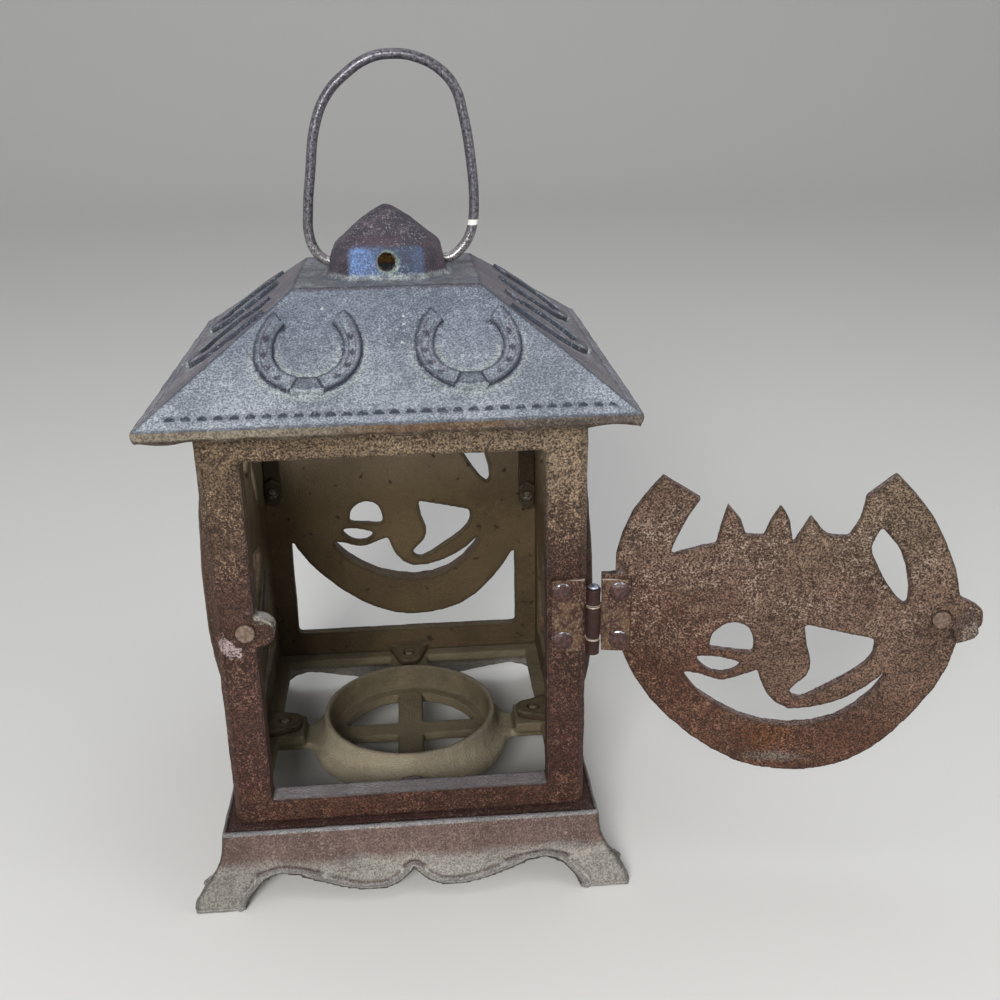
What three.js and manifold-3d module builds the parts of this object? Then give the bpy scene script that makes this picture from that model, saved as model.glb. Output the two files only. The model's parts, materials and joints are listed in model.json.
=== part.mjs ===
// A cast iron candle lantern: a footed base with a candle cup, four cast walls, a hipped roof with a
// hollow cap, a wire bail and an openwork door that swings on a butt hinge. Millimetres, +Z up, origin in
// the middle of the candle's seat. The front faces -Y, and the door rests swung open. Heights below count
// from the floor, and the whole lantern is lowered at the end so that the seat lies at zero.
import * as THREE from 'three';
import { mergeVertices } from 'three/addons/utils/BufferGeometryUtils.js';
import Module from 'manifold-3d';

const wasm = await Module();
wasm.setup();

// Fits between separate pieces
const SEAT = 0.3; // gap left between two pieces that rest on or in each other
const LAP = 0.6; // how far two shapes of one casting run into each other

// Walls
const WALL_HALF = 62.3; // from the middle to the outer face of each wall
const WALL_HEIGHT = 149.1;
const WALL_THICK = 4.3; // side and back walls
const FRONT_THICK = 8; // the front frame is deeper than the other walls
const STILE = 13.3; // width of the upright beside each opening
const FRONT_TAPER = 0.8; // the front opening is this much narrower on each side at its top
const SILL_HEIGHT = 9.4; // front rail, from the wall's foot up to the opening
const BACK_SILL_HEIGHT = 11.2; // lower rail of the side and back walls
const HEAD_HEIGHT = 13.2; // upper rail of every wall
const CORNER_CHAMFER = 2.4; // along the upright outer corners
const OPENWORK_THICK = 3.5; // cast picture inside the side and back walls
const BAND_PROUD = 3.4; // horseshoe band, how far it stands out from the wall's outer face
const BAND_OVER_STILE = 5.9; // the band laps the uprights of each fixed wall by this much
const SHOE_CENTRE_UP = 76.5; // from a wall's foot up to the middle of its horseshoe

// Base casting
const LEDGE_SHOW = 4.7; // the ledge runs out this far past the walls
const LEDGE_TOP = 25.8;
const LEDGE_THICK = 4;
const LEDGE_OPENING_HALF = 53; // square opening inside the ledge
const FASCIA_LOW = 16; // foot of the upright fascia under the ledge
const FOOT_FLARE = 10.3; // the feet stand out this far past the fascia
const SKIRT_THICK = 4;
const FOOT_WIDTH = 17.8; // each foot along the floor, from its outer corner
const APRON_RISE = 9.6; // highest point of the wavy edge between two feet
const CUP_RADIUS = 32.2; // inside of the candle cup's rim
const CUP_RIM_THICK = 2.4;
const CUP_RIM_TOP = 32;
const CANDLE_SEAT = 21.9; // top of the cross under the candle
const CUP_FLOOR_STEP = 0.1; // the ring of floor round the cross stands this much above it
const CUP_FLOOR_HOLE = 27;
const FLANGE_SPREAD = 5.4; // the cup's flared foot stands this far out past its rim
const FLANGE_LOW = 17.5;
const CROSS_WIDTH_Y = 10.5; // bar of the cross that runs from front to back
const CROSS_WIDTH_X = 9;
const ARM_HALF = 7; // half-width of the four arms that carry the cup
const ARM_THICK = 3.5;
const ARM_LAP = 3.8; // each arm runs this far in over the cup's foot
const ARM_TOP = 22.3;

// Lugs that tie each wall to the base, and their screws
const LUG_REACH = 14.3; // from the side wall's inner face inwards
const LUG_ROOT_HALF = 9;
const LUG_TIP_HALF = 5;
const LUG_THICK = 3.2;
const SCREW_FROM_WALL = 11.6; // screw axis, from the wall's outer face inwards
const SCREW_RADIUS = 1.8;
const SCREW_HEAD_RADIUS = 3.4;
const SCREW_HEAD_THICK = 2;

// Roof
const EAVE_REACH = 13.7; // the roof overhangs the walls by this much
const EAVE_THICK = 4.55;
const ROOF_RISE = 31.9; // from the eave's top edge to the plateau
const PLATEAU_HALF = 30.5;
const ROOF_OVER_WALL = 2.8; // the eave's top edge stands this far above the top of the walls
const RIM_THICK = 2; // rims under the roof that hold the tops of the walls between them
const RIM_DROP = 3;
const LEG_WIDTH = 6.6; // two legs under the roof, in the rear corners
const LEG_THICK = 3.2;
const LEG_GAP = 0.4; // between each leg and the side wall
const LEG_DROP = { left: 74.2, right: 80.2 }; // down from the top of the walls: the casting's legs differ
const LEG_FOOT_THICK = 5.2;
const LEG_FOOT_HEIGHT = 13;
const LEG_SCREW_RADIUS = 1.3;
const LEG_SCREW_HEAD_RADIUS = 2.3;
const LEG_SCREW_HEAD_THICK = 1.4;
const LEG_SCREW_SKIN = 1; // back wall left outside each leg screw's blind hole

// Horseshoes on the roof
const SHOE_OFFSET = 25; // each stands this far to the side of the slope's middle
const SHOE_UP_SLOPE = 28; // its middle, up the slope from the eave
const SHOE_OUTER = 16.5;
const SHOE_INNER = 11;
const SHOE_RELIEF = 1.3;
const SHOE_GAP_ANGLE = 40; // degrees from straight up to the middle of each heel

// Cap on the roof
const CAP_HALF = 20;
const CAP_FLARE = 2.6; // the cap's foot spreads this much to meet the plateau
const CAP_HEIGHT = 22.4;
const CAP_WALL = 3.2;
const VENT_RADIUS = 2.95;
const VENT_HEIGHT = 5.6; // above the plateau

// Wire bail
const WIRE_RADIUS = 1.75;
const BAIL_PIVOT_HEIGHT = 3.4; // above the plateau
const BAIL_END = 5.5; // straight end of the wire, from the cap's side inwards

// Door, hinge and catch
const DOOR_THICK = 2.4;
const DOOR_BAND_PROUD = 0.8;
const DOOR_OVER_STILE = 9; // the closed door laps the frame's uprights by this much
const DOOR_LIFT = 0.3; // the door's horseshoe hangs this much higher than the walls'
const DOOR_REST_ANGLE = -7.82; // degrees, the door's direction from +X as it stands open
const HINGE_PIN_OUT = 1.7; // the pin stands this far outside the right wall's face
const KNUCKLE_RADIUS = 2.4;
const LEAF_THICK = 1.2;
const FRAME_LEAF_WIDTH = 14;
const DOOR_LEAF_WIDTH = 12.6;
const LEAF_HEIGHT = 27;
const KNUCKLE_DROP = 2.7; // the upper knuckle ends this far below the top of the leaves
const KNUCKLE_ENDS = 6; // length of the upper and lower knuckle, on the frame's leaf
const PIN_RADIUS = 1.2;
const PIN_HEAD_RADIUS = 1.9;
const RIVET_RADIUS = 1.5;
const RIVET_HEAD_RADIUS = 3.8;
const RIVET_TAIL_RADIUS = 2.6;
const RIVET_HEAD_HEIGHT = 1;
const FRAME_RIVET_FROM_PIN = 10.2;
const DOOR_RIVET_FROM_PIN = 8.8;
const RIVET_EDGE = 4.4; // rivet axis, from the leaf's upper or lower edge
const CATCH_FROM_EDGE = 10.3; // magnet in the left upright, from the frame's outer edge inwards
const CATCH_DROP = 0.9; // magnet below the middle of the door's horseshoe
const CATCH_BOSS_SHIFT = 4.4; // the boss stands this much nearer to the opening than its magnet
const CATCH_BOSS_RADIUS = 5.4;
const CATCH_BOSS_THICK = 5.7;
const MAGNET_RADIUS = 2.9;
const MAGNET_POCKET = 2.2;
const MAGNET_PROUD = 0.6;

// Heights and half-widths that follow from those sizes
const WALL_LOW = LEDGE_TOP + SEAT;
const WALL_TOP = WALL_LOW + WALL_HEIGHT;
const WALL_IN = WALL_HALF - WALL_THICK;
const FRONT_IN = WALL_HALF - FRONT_THICK;
const OPENING_HALF = WALL_HALF - STILE;
const LEDGE_HALF = WALL_HALF + LEDGE_SHOW;
const FOOT_HALF = LEDGE_HALF + FOOT_FLARE;
const EAVE_HALF = WALL_HALF + EAVE_REACH;
const EAVE_TOP = WALL_TOP + ROOF_OVER_WALL;
const PLATEAU = EAVE_TOP + ROOF_RISE;
const CUP_FLOOR = CANDLE_SEAT + CUP_FLOOR_STEP;
const CUP_RIM_RADIUS = CUP_RADIUS + CUP_RIM_THICK;
const FLANGE_RADIUS = CUP_RIM_RADIUS + FLANGE_SPREAD;
const SCREW_AT = WALL_HALF - SCREW_FROM_WALL;
const LEG_X = WALL_IN - LEG_GAP - LEG_WIDTH / 2;
const PIVOT_Z = PLATEAU + BAIL_PIVOT_HEIGHT;
const WALL_SHOE_Z = WALL_LOW + SHOE_CENTRE_UP;
const DOOR_SHOE_Z = WALL_SHOE_Z + DOOR_LIFT;
const DOOR_HALF = OPENING_HALF + DOOR_OVER_STILE; // from the middle of the door to its widest point
const HINGE_X = WALL_HALF + HINGE_PIN_OUT;
const PIN_TO_FACE = KNUCKLE_RADIUS + SEAT; // from the pin's axis to the frame's and the door's face
const PIN_Y = -WALL_HALF - PIN_TO_FACE;
const CLOSED_GAP = 2 * PIN_TO_FACE; // between the closed door and the frame
const LEAF_LOW = DOOR_SHOE_Z - LEAF_HEIGHT / 2; // the hinge is level with the middle of the horseshoe
const LEAF_HIGH = LEAF_LOW + LEAF_HEIGHT;
const KNUCKLE_HIGH = LEAF_HIGH - KNUCKLE_DROP;
const RIVET_LEVELS = { upper: LEAF_HIGH - RIVET_EDGE, lower: LEAF_LOW + RIVET_EDGE };
const CATCH_X = CATCH_FROM_EDGE - WALL_HALF;
const CATCH_Z = DOOR_SHOE_Z - CATCH_DROP;

// Solids and booleans

function solid(geometry, matrix) {
  const bare = geometry.clone();
  bare.deleteAttribute('normal');
  bare.deleteAttribute('uv');
  if (matrix) bare.applyMatrix4(matrix);
  const merged = mergeVertices(bare, 1e-4);
  const corners = Array.from(merged.index ? merged.index.array : merged.attributes.position.array.keys());
  let volume = 0;
  const [a, b, c] = [new THREE.Vector3(), new THREE.Vector3(), new THREE.Vector3()];
  for (let i = 0; i < corners.length; i += 3) {
    [a, b, c].forEach((v, k) => v.fromBufferAttribute(merged.attributes.position, corners[i + k]));
    volume += a.dot(b.cross(c));
  }
  if (volume < 0) {
    for (let i = 0; i < corners.length; i += 3) [corners[i], corners[i + 1]] = [corners[i + 1], corners[i]];
  }
  const mesh = new wasm.Mesh({
    numProp: 3,
    vertProperties: new Float32Array(merged.attributes.position.array),
    triVerts: new Uint32Array(corners),
  });
  return new wasm.Manifold(mesh);
}

const join = (...solids) => solids.reduce((sum, part) => sum.add(part));
const cut = (body, ...tools) => tools.reduce((rest, tool) => rest.subtract(tool), body);

function toGeometry(manifold) {
  const mesh = manifold.getMesh();
  const geometry = new THREE.BufferGeometry();
  geometry.setAttribute('position', new THREE.BufferAttribute(new Float32Array(mesh.vertProperties), 3));
  geometry.setIndex(new THREE.BufferAttribute(new Uint32Array(mesh.triVerts), 1));
  return geometry;
}

const at = (x, y, z) => new THREE.Matrix4().makeTranslation(x, y, z);
const turnX = (degrees) => new THREE.Matrix4().makeRotationX(THREE.MathUtils.degToRad(degrees));
const turnY = (degrees) => new THREE.Matrix4().makeRotationY(THREE.MathUtils.degToRad(degrees));
const turnZ = (degrees) => new THREE.Matrix4().makeRotationZ(THREE.MathUtils.degToRad(degrees));
const chain = (...matrices) => matrices.reduce((product, next) => product.clone().multiply(next));

function block(low, high) {
  const size = high.map((value, i) => value - low[i]);
  const middle = high.map((value, i) => (value + low[i]) / 2);
  return solid(new THREE.BoxGeometry(...size), at(...middle));
}

// A round bar from one point on an axis to another, along +Z before the matrix places it
function bar(radius, low, high, sides = 14, matrix = new THREE.Matrix4()) {
  const cylinder = new THREE.CylinderGeometry(radius, radius, high - low, sides);
  return solid(cylinder, chain(matrix, at(0, 0, (low + high) / 2), turnX(90)));
}

// A turned shape from [radius, height] pairs, about +Z before the matrix places it
function turned(profile, sides, matrix = new THREE.Matrix4()) {
  const points = profile.map(([r, z]) => new THREE.Vector2(r, z));
  return solid(new THREE.LatheGeometry(points, sides), chain(matrix, turnX(90)));
}

// A four-sided shape with mitred corners from [half-width, height] pairs
function fourSided(profile) {
  return turned(profile.map(([half, z]) => [half * Math.SQRT2, z]), 4, turnZ(45));
}

// A closed outline, run counter-clockwise, and a window in one runs the other way
function shapeOf(points, isWindow = false) {
  const corners = points.map(([x, y]) => new THREE.Vector2(x, y));
  return new THREE.Shape(THREE.ShapeUtils.isClockWise(corners) === isWindow ? corners : corners.reverse());
}

function slab(points, depth, matrix) {
  return solid(new THREE.ExtrudeGeometry(shapeOf(points), { depth, bevelEnabled: false }), matrix);
}

// A stack of rings with the same number of corners, closed at both ends
function loft(rings) {
  const count = rings[0].length;
  const position = rings.flat(2);
  const index = [];
  for (let r = 0; r + 1 < rings.length; r += 1) {
    for (let i = 0; i < count; i += 1) {
      const next = (i + 1) % count;
      const [a, b, c, d] = [r * count + i, r * count + next, (r + 1) * count + i, (r + 1) * count + next];
      index.push(a, b, c, b, d, c);
    }
  }
  const last = (rings.length - 1) * count;
  for (let i = 1; i + 1 < count; i += 1) index.push(0, i + 1, i, last, last + i, last + i + 1);
  const geometry = new THREE.BufferGeometry();
  geometry.setAttribute('position', new THREE.Float32BufferAttribute(position, 3));
  geometry.setIndex(index);
  return solid(geometry);
}

// The horseshoe picture

// One picture serves the door and the three fixed walls. u runs to the right and v up, in millimetres on
// the door, from the middle of the horseshoe, as someone inside the lantern sees it. Each outline is a
// ring of smooth stretches that meet at corners, and a stretch of two points is straight.
const BAND_OUTSIDE = [
  [32.2, 50.4], [44.7, 36.6], [54.3, 17.6], [58, 0], [56.5, -18], [46.8, -37.2], [33, -52.5],
  [18, -60], [2, -61.3], [-13.4, -57.6], [-30, -47], [-43.9, -32.9], [-53, -17], [-57.5, 0],
  [-57.1, 19.7], [-51.5, 37], [-42, 49.7],
];
const BAND_INSIDE = [
  [-29.6, 41.8], [-36.7, 28.5], [-40.5, 12], [-40.5, -4], [-36, -18], [-27.5, -29.6], [-12.5, -39.1],
  [4.3, -42.7], [20.5, -39.2], [32.7, -28.5], [39, -14], [41, 3], [38.5, 18], [32, 31], [23, 42.7],
];
// Top of the picture, from the left heel down into the notch, over the three points and up to the right heel
const CREST = [
  [[-42, 49.7], [-29.6, 41.8]],
  [[-29.6, 41.8], [-33.6, 35.5], [-36.7, 28.5], [-39.1, 21.8]],
  [[-39.1, 21.8], [-29.2, 24.9], [-23.9, 25.7]],
  [[-23.9, 25.7], [-22.8, 31.9], [-20.8, 39.6]],
  [[-20.8, 39.6], [-16.5, 34.5], [-14.7, 29.3]],
  [[-14.7, 29.3], [-8.6, 29]],
  [[-8.6, 29], [-6.6, 34.2], [-3.9, 39.7]],
  [[-3.9, 39.7], [-0.6, 34.2], [0.9, 25]],
  [[0.9, 25], [2.6, 29.3], [6.2, 36.3]],
  [[6.2, 36.3], [8.6, 33], [12.1, 29.5], [18.9, 29.2]],
  [[18.9, 29.2], [22, 35.4], [23, 42.7]],
  [[23, 42.7], [32.2, 50.4]],
];
const WINDOWS = {
  cheek: [
    [[-24.3, -12.6], [-23.6, -7.4], [-19.7, -3.8], [-15.8, -3], [-11.4, -5], [-9.5, -10], [-9.5, -14.1]],
    [[-9.5, -14.1], [-24.3, -12.6]],
  ],
  slit: [
    [[-28.9, -16.2], [-21, -16.2], [-13.2, -18.6]],
    [[-13.2, -18.6], [-17, -21.8], [-23.8, -21.4], [-28.9, -16.2]],
  ],
  neck: [
    [[7.4, -3.5], [16.3, -5.6], [30.8, -8.8]],
    [
      [30.8, -8.8], [31, -14], [26.7, -19.8], [17.3, -26.4], [8.1, -31.8], [3.8, -29], [9.4, -23],
      [10.6, -17.5], [8.5, -11], [7.4, -3.5],
    ],
  ],
  curve: [
    [[-33, -22], [-26.8, -23.1], [-19.5, -25.3], [-12, -23], [-7.3, -21.2]],
    [[-7.3, -21.2], [-3.9, -29.8], [4, -36.2], [17.9, -33.9], [29.5, -27.4], [37.5, -19.1]],
    [
      [37.5, -19.1], [32.7, -28.5], [20.5, -39.2], [4.3, -42.7], [-12.5, -39.1], [-26.5, -30.6],
      [-33, -22],
    ],
  ],
  mane: [
    [
      [29, 32.1], [34.6, 26], [38.8, 17.5], [40.7, 9], [39.2, 4.6], [33.5, 11], [28.5, 19.5],
      [26.3, 25.5], [29, 32.1],
    ],
  ],
};

function follow(stretches) {
  return stretches.flatMap((stretch) => {
    const curve = new THREE.SplineCurve(stretch.map(([u, v]) => new THREE.Vector2(u, v)));
    const steps = stretch.length === 2 ? 1 : 2 * (stretch.length - 1);
    return curve.getPoints(steps).slice(0, -1).map((point) => [point.x, point.y]);
  });
}

const scaled = (points, scale) => points.map(([u, v]) => [u * scale, v * scale]);

const DRAWN_HALF = Math.max(...BAND_OUTSIDE.map(([u]) => u));
const WALL_SCALE = (OPENING_HALF + BAND_OVER_STILE) / DRAWN_HALF;
const DOOR_SCALE = DOOR_HALF / DRAWN_HALF;

function openwork(scale, depth) {
  const shape = shapeOf(scaled(follow([BAND_OUTSIDE, ...CREST]), scale));
  shape.holes = Object.values(WINDOWS).map((window) => shapeOf(scaled(follow(window), scale), true));
  return solid(new THREE.ExtrudeGeometry(shape, { depth, bevelEnabled: false }), at(0, 0, -depth));
}

// The raised horseshoe band on the outer side, from one depth behind the inner face to another
function band(scale, from, to) {
  const [heelRight, heelLeft] = [BAND_OUTSIDE[0], BAND_OUTSIDE.at(-1)];
  const ring = follow([
    BAND_OUTSIDE, [heelLeft, BAND_INSIDE[0]], BAND_INSIDE, [BAND_INSIDE.at(-1), heelRight],
  ]);
  return slab(scaled(ring, scale), to - from, at(0, 0, -to));
}

// Walls, each in its own frame: x to the right and y up as seen from inside, z towards the inside, with the
// inner face at z = 0

function wallBlank(left, right, thick, chamferLeft, chamferRight) {
  const plan = [
    [left, 0], [right, 0], [right, thick - chamferRight], [right - chamferRight, thick],
    [left + chamferLeft, thick], [left, thick - chamferLeft],
  ].filter(([x, y], i, all) => i === 0 || x !== all[i - 1][0] || y !== all[i - 1][1]);
  return slab(plan, WALL_HEIGHT, chain(at(0, WALL_LOW, 0), turnX(-90)));
}

function openingTool(sill, taper, thick) {
  const low = WALL_LOW + sill;
  const high = WALL_TOP - HEAD_HEIGHT;
  const narrow = OPENING_HALF - taper;
  const outline = [[-OPENING_HALF, low], [OPENING_HALF, low], [narrow, high], [-narrow, high]];
  return slab(outline, thick + 2 * LAP, at(0, 0, -thick - LAP));
}

// Flat lug at the foot of a wall, with the hole that its screw comes up through
function baseLug(face) {
  const tip = WALL_IN - LUG_REACH;
  const nose = tip + LUG_TIP_HALF / 2;
  const outline = [
    [-LUG_ROOT_HALF, -face - LAP], [LUG_ROOT_HALF, -face - LAP], [LUG_TIP_HALF, -nose],
    [LUG_TIP_HALF / 2, -tip], [-LUG_TIP_HALF / 2, -tip], [-LUG_TIP_HALF, -nose],
  ];
  const lug = slab(outline, LUG_THICK, at(0, 0, WALL_LOW));
  const hole = bar(SCREW_RADIUS + SEAT, WALL_LOW - LAP, WALL_LOW + LUG_THICK + LAP, 12, at(0, -SCREW_AT, 0));
  return cut(lug, hole);
}

// A lug made for the front wall, turned into a wall's own frame
function lugInWall(face) {
  const frontToWall = chain(at(0, 0, face), turnY(180), turnX(-90));
  return baseLug(face).transform(frontToWall.elements);
}

function openworkWall(left, right, chamferLeft, chamferRight) {
  const plate = cut(
    wallBlank(left, right, WALL_THICK, chamferLeft, chamferRight),
    openingTool(BACK_SILL_HEIGHT, 0, WALL_THICK),
  );
  const picture = openwork(WALL_SCALE, OPENWORK_THICK);
  const raised = band(WALL_SCALE, OPENWORK_THICK - LAP, WALL_THICK + BAND_PROUD);
  const extent = block([left, WALL_LOW, -WALL_THICK - BAND_PROUD - LAP], [right, WALL_TOP, LAP]);
  const trimmed = join(picture, raised).translate([0, WALL_SHOE_Z, 0]).intersect(extent);
  return join(plate, trimmed, lugInWall(WALL_IN));
}

// The two legs under the roof, with where each stands and the foot of its casting
const legSides = { left: -1, right: 1 };
const legPlace = (side) => ({ x: legSides[side] * LEG_X, low: WALL_TOP - LEG_DROP[side] });
const legScrewZ = (side) => legPlace(side).low + LEG_FOOT_HEIGHT / 2;

function makeBackPanel() {
  const wall = openworkWall(-WALL_HALF, WALL_HALF, CORNER_CHAMFER, CORNER_CHAMFER);
  const holes = Object.keys(legSides).map((side) => {
    const hole = at(legPlace(side).x, legScrewZ(side), 0);
    return bar(LEG_SCREW_RADIUS + SEAT, LEG_SCREW_SKIN - WALL_THICK, LAP, 10, hole);
  });
  return cut(wall, ...holes);
}

// The side walls stand between the front frame and the back wall
function makeSidePanel(frontOnRight) {
  const front = FRONT_IN - SEAT;
  const rear = WALL_IN - SEAT;
  return frontOnRight ? openworkWall(-rear, front, 0, 0) : openworkWall(-front, rear, 0, 0);
}

// The front frame in the lantern's own frame
function makeFrontFrame() {
  const face = at(0, -FRONT_IN, 0);
  const upright = chain(face, turnZ(180), turnX(90));
  const blank = cut(
    wallBlank(-WALL_HALF, WALL_HALF, FRONT_THICK, CORNER_CHAMFER, CORNER_CHAMFER),
    openingTool(SILL_HEIGHT, FRONT_TAPER, FRONT_THICK),
  ).transform(upright.elements);
  const inwards = (x, z) => chain(at(x, -WALL_HALF, z), turnX(-90));
  const boss = bar(CATCH_BOSS_RADIUS, 0, CATCH_BOSS_THICK, 24, inwards(CATCH_X + CATCH_BOSS_SHIFT, CATCH_Z));
  const pocket = bar(MAGNET_RADIUS + SEAT / 2, -LAP, MAGNET_POCKET, 16, inwards(CATCH_X, CATCH_Z));
  const holes = Object.values(RIVET_LEVELS).map((z) => (
    bar(RIVET_RADIUS + SEAT, -LAP, FRONT_THICK + LAP, 10, inwards(HINGE_X - FRAME_RIVET_FROM_PIN, z))
  ));
  return cut(join(blank, boss, baseLug(FRONT_IN)), pocket, ...holes);
}

// Base

// The wavy lower edge between two feet, as shares of its half-width and of its rise
function apronCut() {
  const half = FOOT_HALF - FOOT_WIDTH;
  const wave = [
    [1, 0], [0.958, 0.42], [0.89, 0.84], [0.79, 1], [0.672, 0.91], [0.521, 0.64], [0.38, 0.44],
    [0.276, 0.36], [0.156, 0.4], [0.076, 0.58], [0, 0.92],
  ].map(([share, rise]) => [share * half, rise * APRON_RISE]);
  const mirrored = wave.slice(0, -1).reverse().map(([x, z]) => [-x, z]);
  const outline = [[half, -LAP], ...wave, ...mirrored, [-half, -LAP]];
  const depth = 2 * FOOT_HALF + 2 * LAP;
  return slab(outline, depth, chain(at(0, depth / 2, 0), turnX(90)));
}

function cavetto(from, control, to, steps) {
  const points = [from, control, to].map(([x, y]) => new THREE.Vector2(x, y));
  const curve = new THREE.QuadraticBezierCurve(...points);
  return curve.getPoints(steps).map((point) => [point.x, point.y]);
}

function makeBase() {
  const fascia = LEDGE_HALF;
  const inner = fascia - SKIRT_THICK;
  // A shallow groove runs round the ledge just inside its edge
  const shell = fourSided([
    [LEDGE_OPENING_HALF, LEDGE_TOP], [fascia - 2.2, LEDGE_TOP], [fascia - 1.7, LEDGE_TOP - 0.6],
    [fascia - 1.2, LEDGE_TOP], [fascia - 0.5, LEDGE_TOP], [fascia, LEDGE_TOP - 0.6],
    ...cavetto([fascia, FASCIA_LOW], [fascia + 1, FASCIA_LOW / 3], [FOOT_HALF, 1], 6),
    [FOOT_HALF, 0], [FOOT_HALF - SKIRT_THICK, 0],
    ...cavetto([FOOT_HALF - SKIRT_THICK, 0.4], [inner + 0.6, FASCIA_LOW / 4], [inner, FASCIA_LOW - 2], 5),
    [inner, LEDGE_TOP - LEDGE_THICK], [LEDGE_OPENING_HALF, LEDGE_TOP - LEDGE_THICK],
    [LEDGE_OPENING_HALF, LEDGE_TOP],
  ]);
  const cup = turned([
    [CUP_FLOOR_HOLE, CUP_FLOOR], [CUP_RADIUS, CUP_FLOOR], [CUP_RADIUS, CUP_RIM_TOP],
    [CUP_RIM_RADIUS, CUP_RIM_TOP], [CUP_RIM_RADIUS + 0.3, CUP_FLOOR + 5],
    [CUP_RIM_RADIUS + 1.4, CUP_FLOOR + 1.5], [FLANGE_RADIUS, ARM_TOP - 1.3],
    [FLANGE_RADIUS, FLANGE_LOW], [CUP_FLOOR_HOLE, FLANGE_LOW], [CUP_FLOOR_HOLE, CUP_FLOOR],
  ], 40);
  const reach = CUP_FLOOR_HOLE + 2;
  const cross = [
    block([-CROSS_WIDTH_Y / 2, -reach, FLANGE_LOW + LAP], [CROSS_WIDTH_Y / 2, reach, CANDLE_SEAT]),
    block([-reach, -CROSS_WIDTH_X / 2, FLANGE_LOW + LAP], [reach, CROSS_WIDTH_X / 2, CANDLE_SEAT]),
  ];
  const armStart = FLANGE_RADIUS - ARM_LAP;
  const armEnd = LEDGE_OPENING_HALF + 2;
  const padStart = WALL_IN - LUG_REACH - 1;
  const arms = [0, 90, 180, 270].map((angle) => {
    const outline = [
      [-ARM_HALF - 4, armStart], [ARM_HALF + 4, armStart], [ARM_HALF, FLANGE_RADIUS + 1],
      [ARM_HALF, armEnd], [-ARM_HALF, armEnd], [-ARM_HALF, FLANGE_RADIUS + 1],
    ];
    const arm = slab(outline, ARM_THICK, chain(turnZ(angle), at(0, 0, ARM_TOP - ARM_THICK)));
    const pad = block([-ARM_HALF - 1, padStart, ARM_TOP - LAP], [ARM_HALF + 1, armEnd, LEDGE_TOP]);
    return join(arm, pad.transform(turnZ(angle).elements));
  });
  const screwHoles = [0, 90, 180, 270].map((angle) => (
    bar(SCREW_RADIUS + SEAT, FLANGE_LOW, LEDGE_TOP + LAP, 12, chain(turnZ(angle), at(0, SCREW_AT, 0)))
  ));
  const aprons = [apronCut(), apronCut().transform(turnZ(90).elements)];
  return cut(join(shell, cup, ...cross, ...arms), ...aprons, ...screwHoles);
}

// Roof

const slope = Math.atan2(ROOF_RISE, EAVE_HALF - PLATEAU_HALF);

// From a slope's own frame, x along the eave, y up the slope and z out of it, to the lantern's
function onSlope(angle) {
  return chain(turnZ(angle), at(0, -EAVE_HALF, EAVE_TOP), turnX(THREE.MathUtils.radToDeg(slope)));
}

function roofShoe(side) {
  const middle = (SHOE_OUTER + SHOE_INNER) / 2;
  const arc = (radius, from, to, steps) => Array.from({ length: steps + 1 }, (_, i) => {
    const angle = THREE.MathUtils.degToRad(from + ((to - from) * i) / steps);
    return [radius * Math.cos(angle), radius * Math.sin(angle)];
  });
  const [start, end] = [90 + SHOE_GAP_ANGLE, 450 - SHOE_GAP_ANGLE];
  const outline = [...arc(SHOE_OUTER, start, end, 18), ...arc(SHOE_INNER, end, start, 14)];
  const place = at(side * SHOE_OFFSET, SHOE_UP_SLOPE, -LAP);
  const ring = slab(outline, SHOE_RELIEF + LAP, place);
  const crease = slab(
    [...arc(middle + 1.1, start + 8, 236, 7), ...arc(middle - 0.3, 236, start + 8, 7)],
    1, chain(place, at(0, 0, SHOE_RELIEF + LAP - 0.5)),
  );
  const toe = slab(
    [[-5.2, -SHOE_OUTER - 0.4], [5.2, -SHOE_OUTER - 0.4], [4.2, -SHOE_INNER + 1], [-4.2, -SHOE_INNER + 1]],
    SHOE_RELIEF + LAP + 0.5, place,
  );
  const otherCrease = crease.mirror([1, 0, 0]).translate([2 * side * SHOE_OFFSET, 0, 0]);
  return join(cut(ring, crease, otherCrease), toe);
}

// Corners of a square with its corners cut off, half wide and with straight sides of half-length side
function capRing(half, side, z) {
  return [[half, side], [side, half], [-side, half], [-half, side], [-half, -side], [-side, -half],
    [side, -half], [half, -side]].map(([x, y]) => [x, y, z]);
}

function capProfile(inset) {
  const half = CAP_HALF - inset;
  const stages = [[1, 0.63, 0.09], [0.94, 0.62, 0.36], [0.86, 0.6, 0.43], [0.77, 0.53, 0.5],
    [0.59, 0.39, 0.615], [0.41, 0.27, 0.735], [0.235, 0.155, 0.855], [0.09, 0.06, 0.955], [0.03, 0.02, 1]];
  return stages.map(([width, flat, rise]) => (
    capRing(half * width, half * flat, PLATEAU + (CAP_HEIGHT - inset) * rise)
  ));
}

const underside = (half) => EAVE_TOP - EAVE_THICK + (EAVE_HALF - half) * Math.tan(slope);

function makeLeg(side) {
  const { x, low } = legPlace(side);
  const back = WALL_IN - SEAT;
  const front = back - LEG_THICK;
  const half = LEG_WIDTH / 2;
  const shank = block([x - half, front, low + half], [x + half, back, underside(back) + LAP]);
  const round = Array.from({ length: 7 }, (_, i) => {
    const angle = Math.PI + (Math.PI * i) / 6;
    return [x + half * Math.cos(angle), low + half + half * Math.sin(angle)];
  });
  const shoulder = low + LEG_FOOT_HEIGHT - 2;
  const outline = [...round, [x + half, shoulder], [x, low + LEG_FOOT_HEIGHT], [x - half, shoulder]];
  const foot = slab(outline, LEG_FOOT_THICK, chain(at(0, back, 0), turnX(90)));
  const along = chain(at(x, back, legScrewZ(side)), turnX(90));
  return cut(join(shank, foot), bar(LEG_SCREW_RADIUS + SEAT, -LAP, LEG_FOOT_THICK + LAP, 10, along));
}

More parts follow.
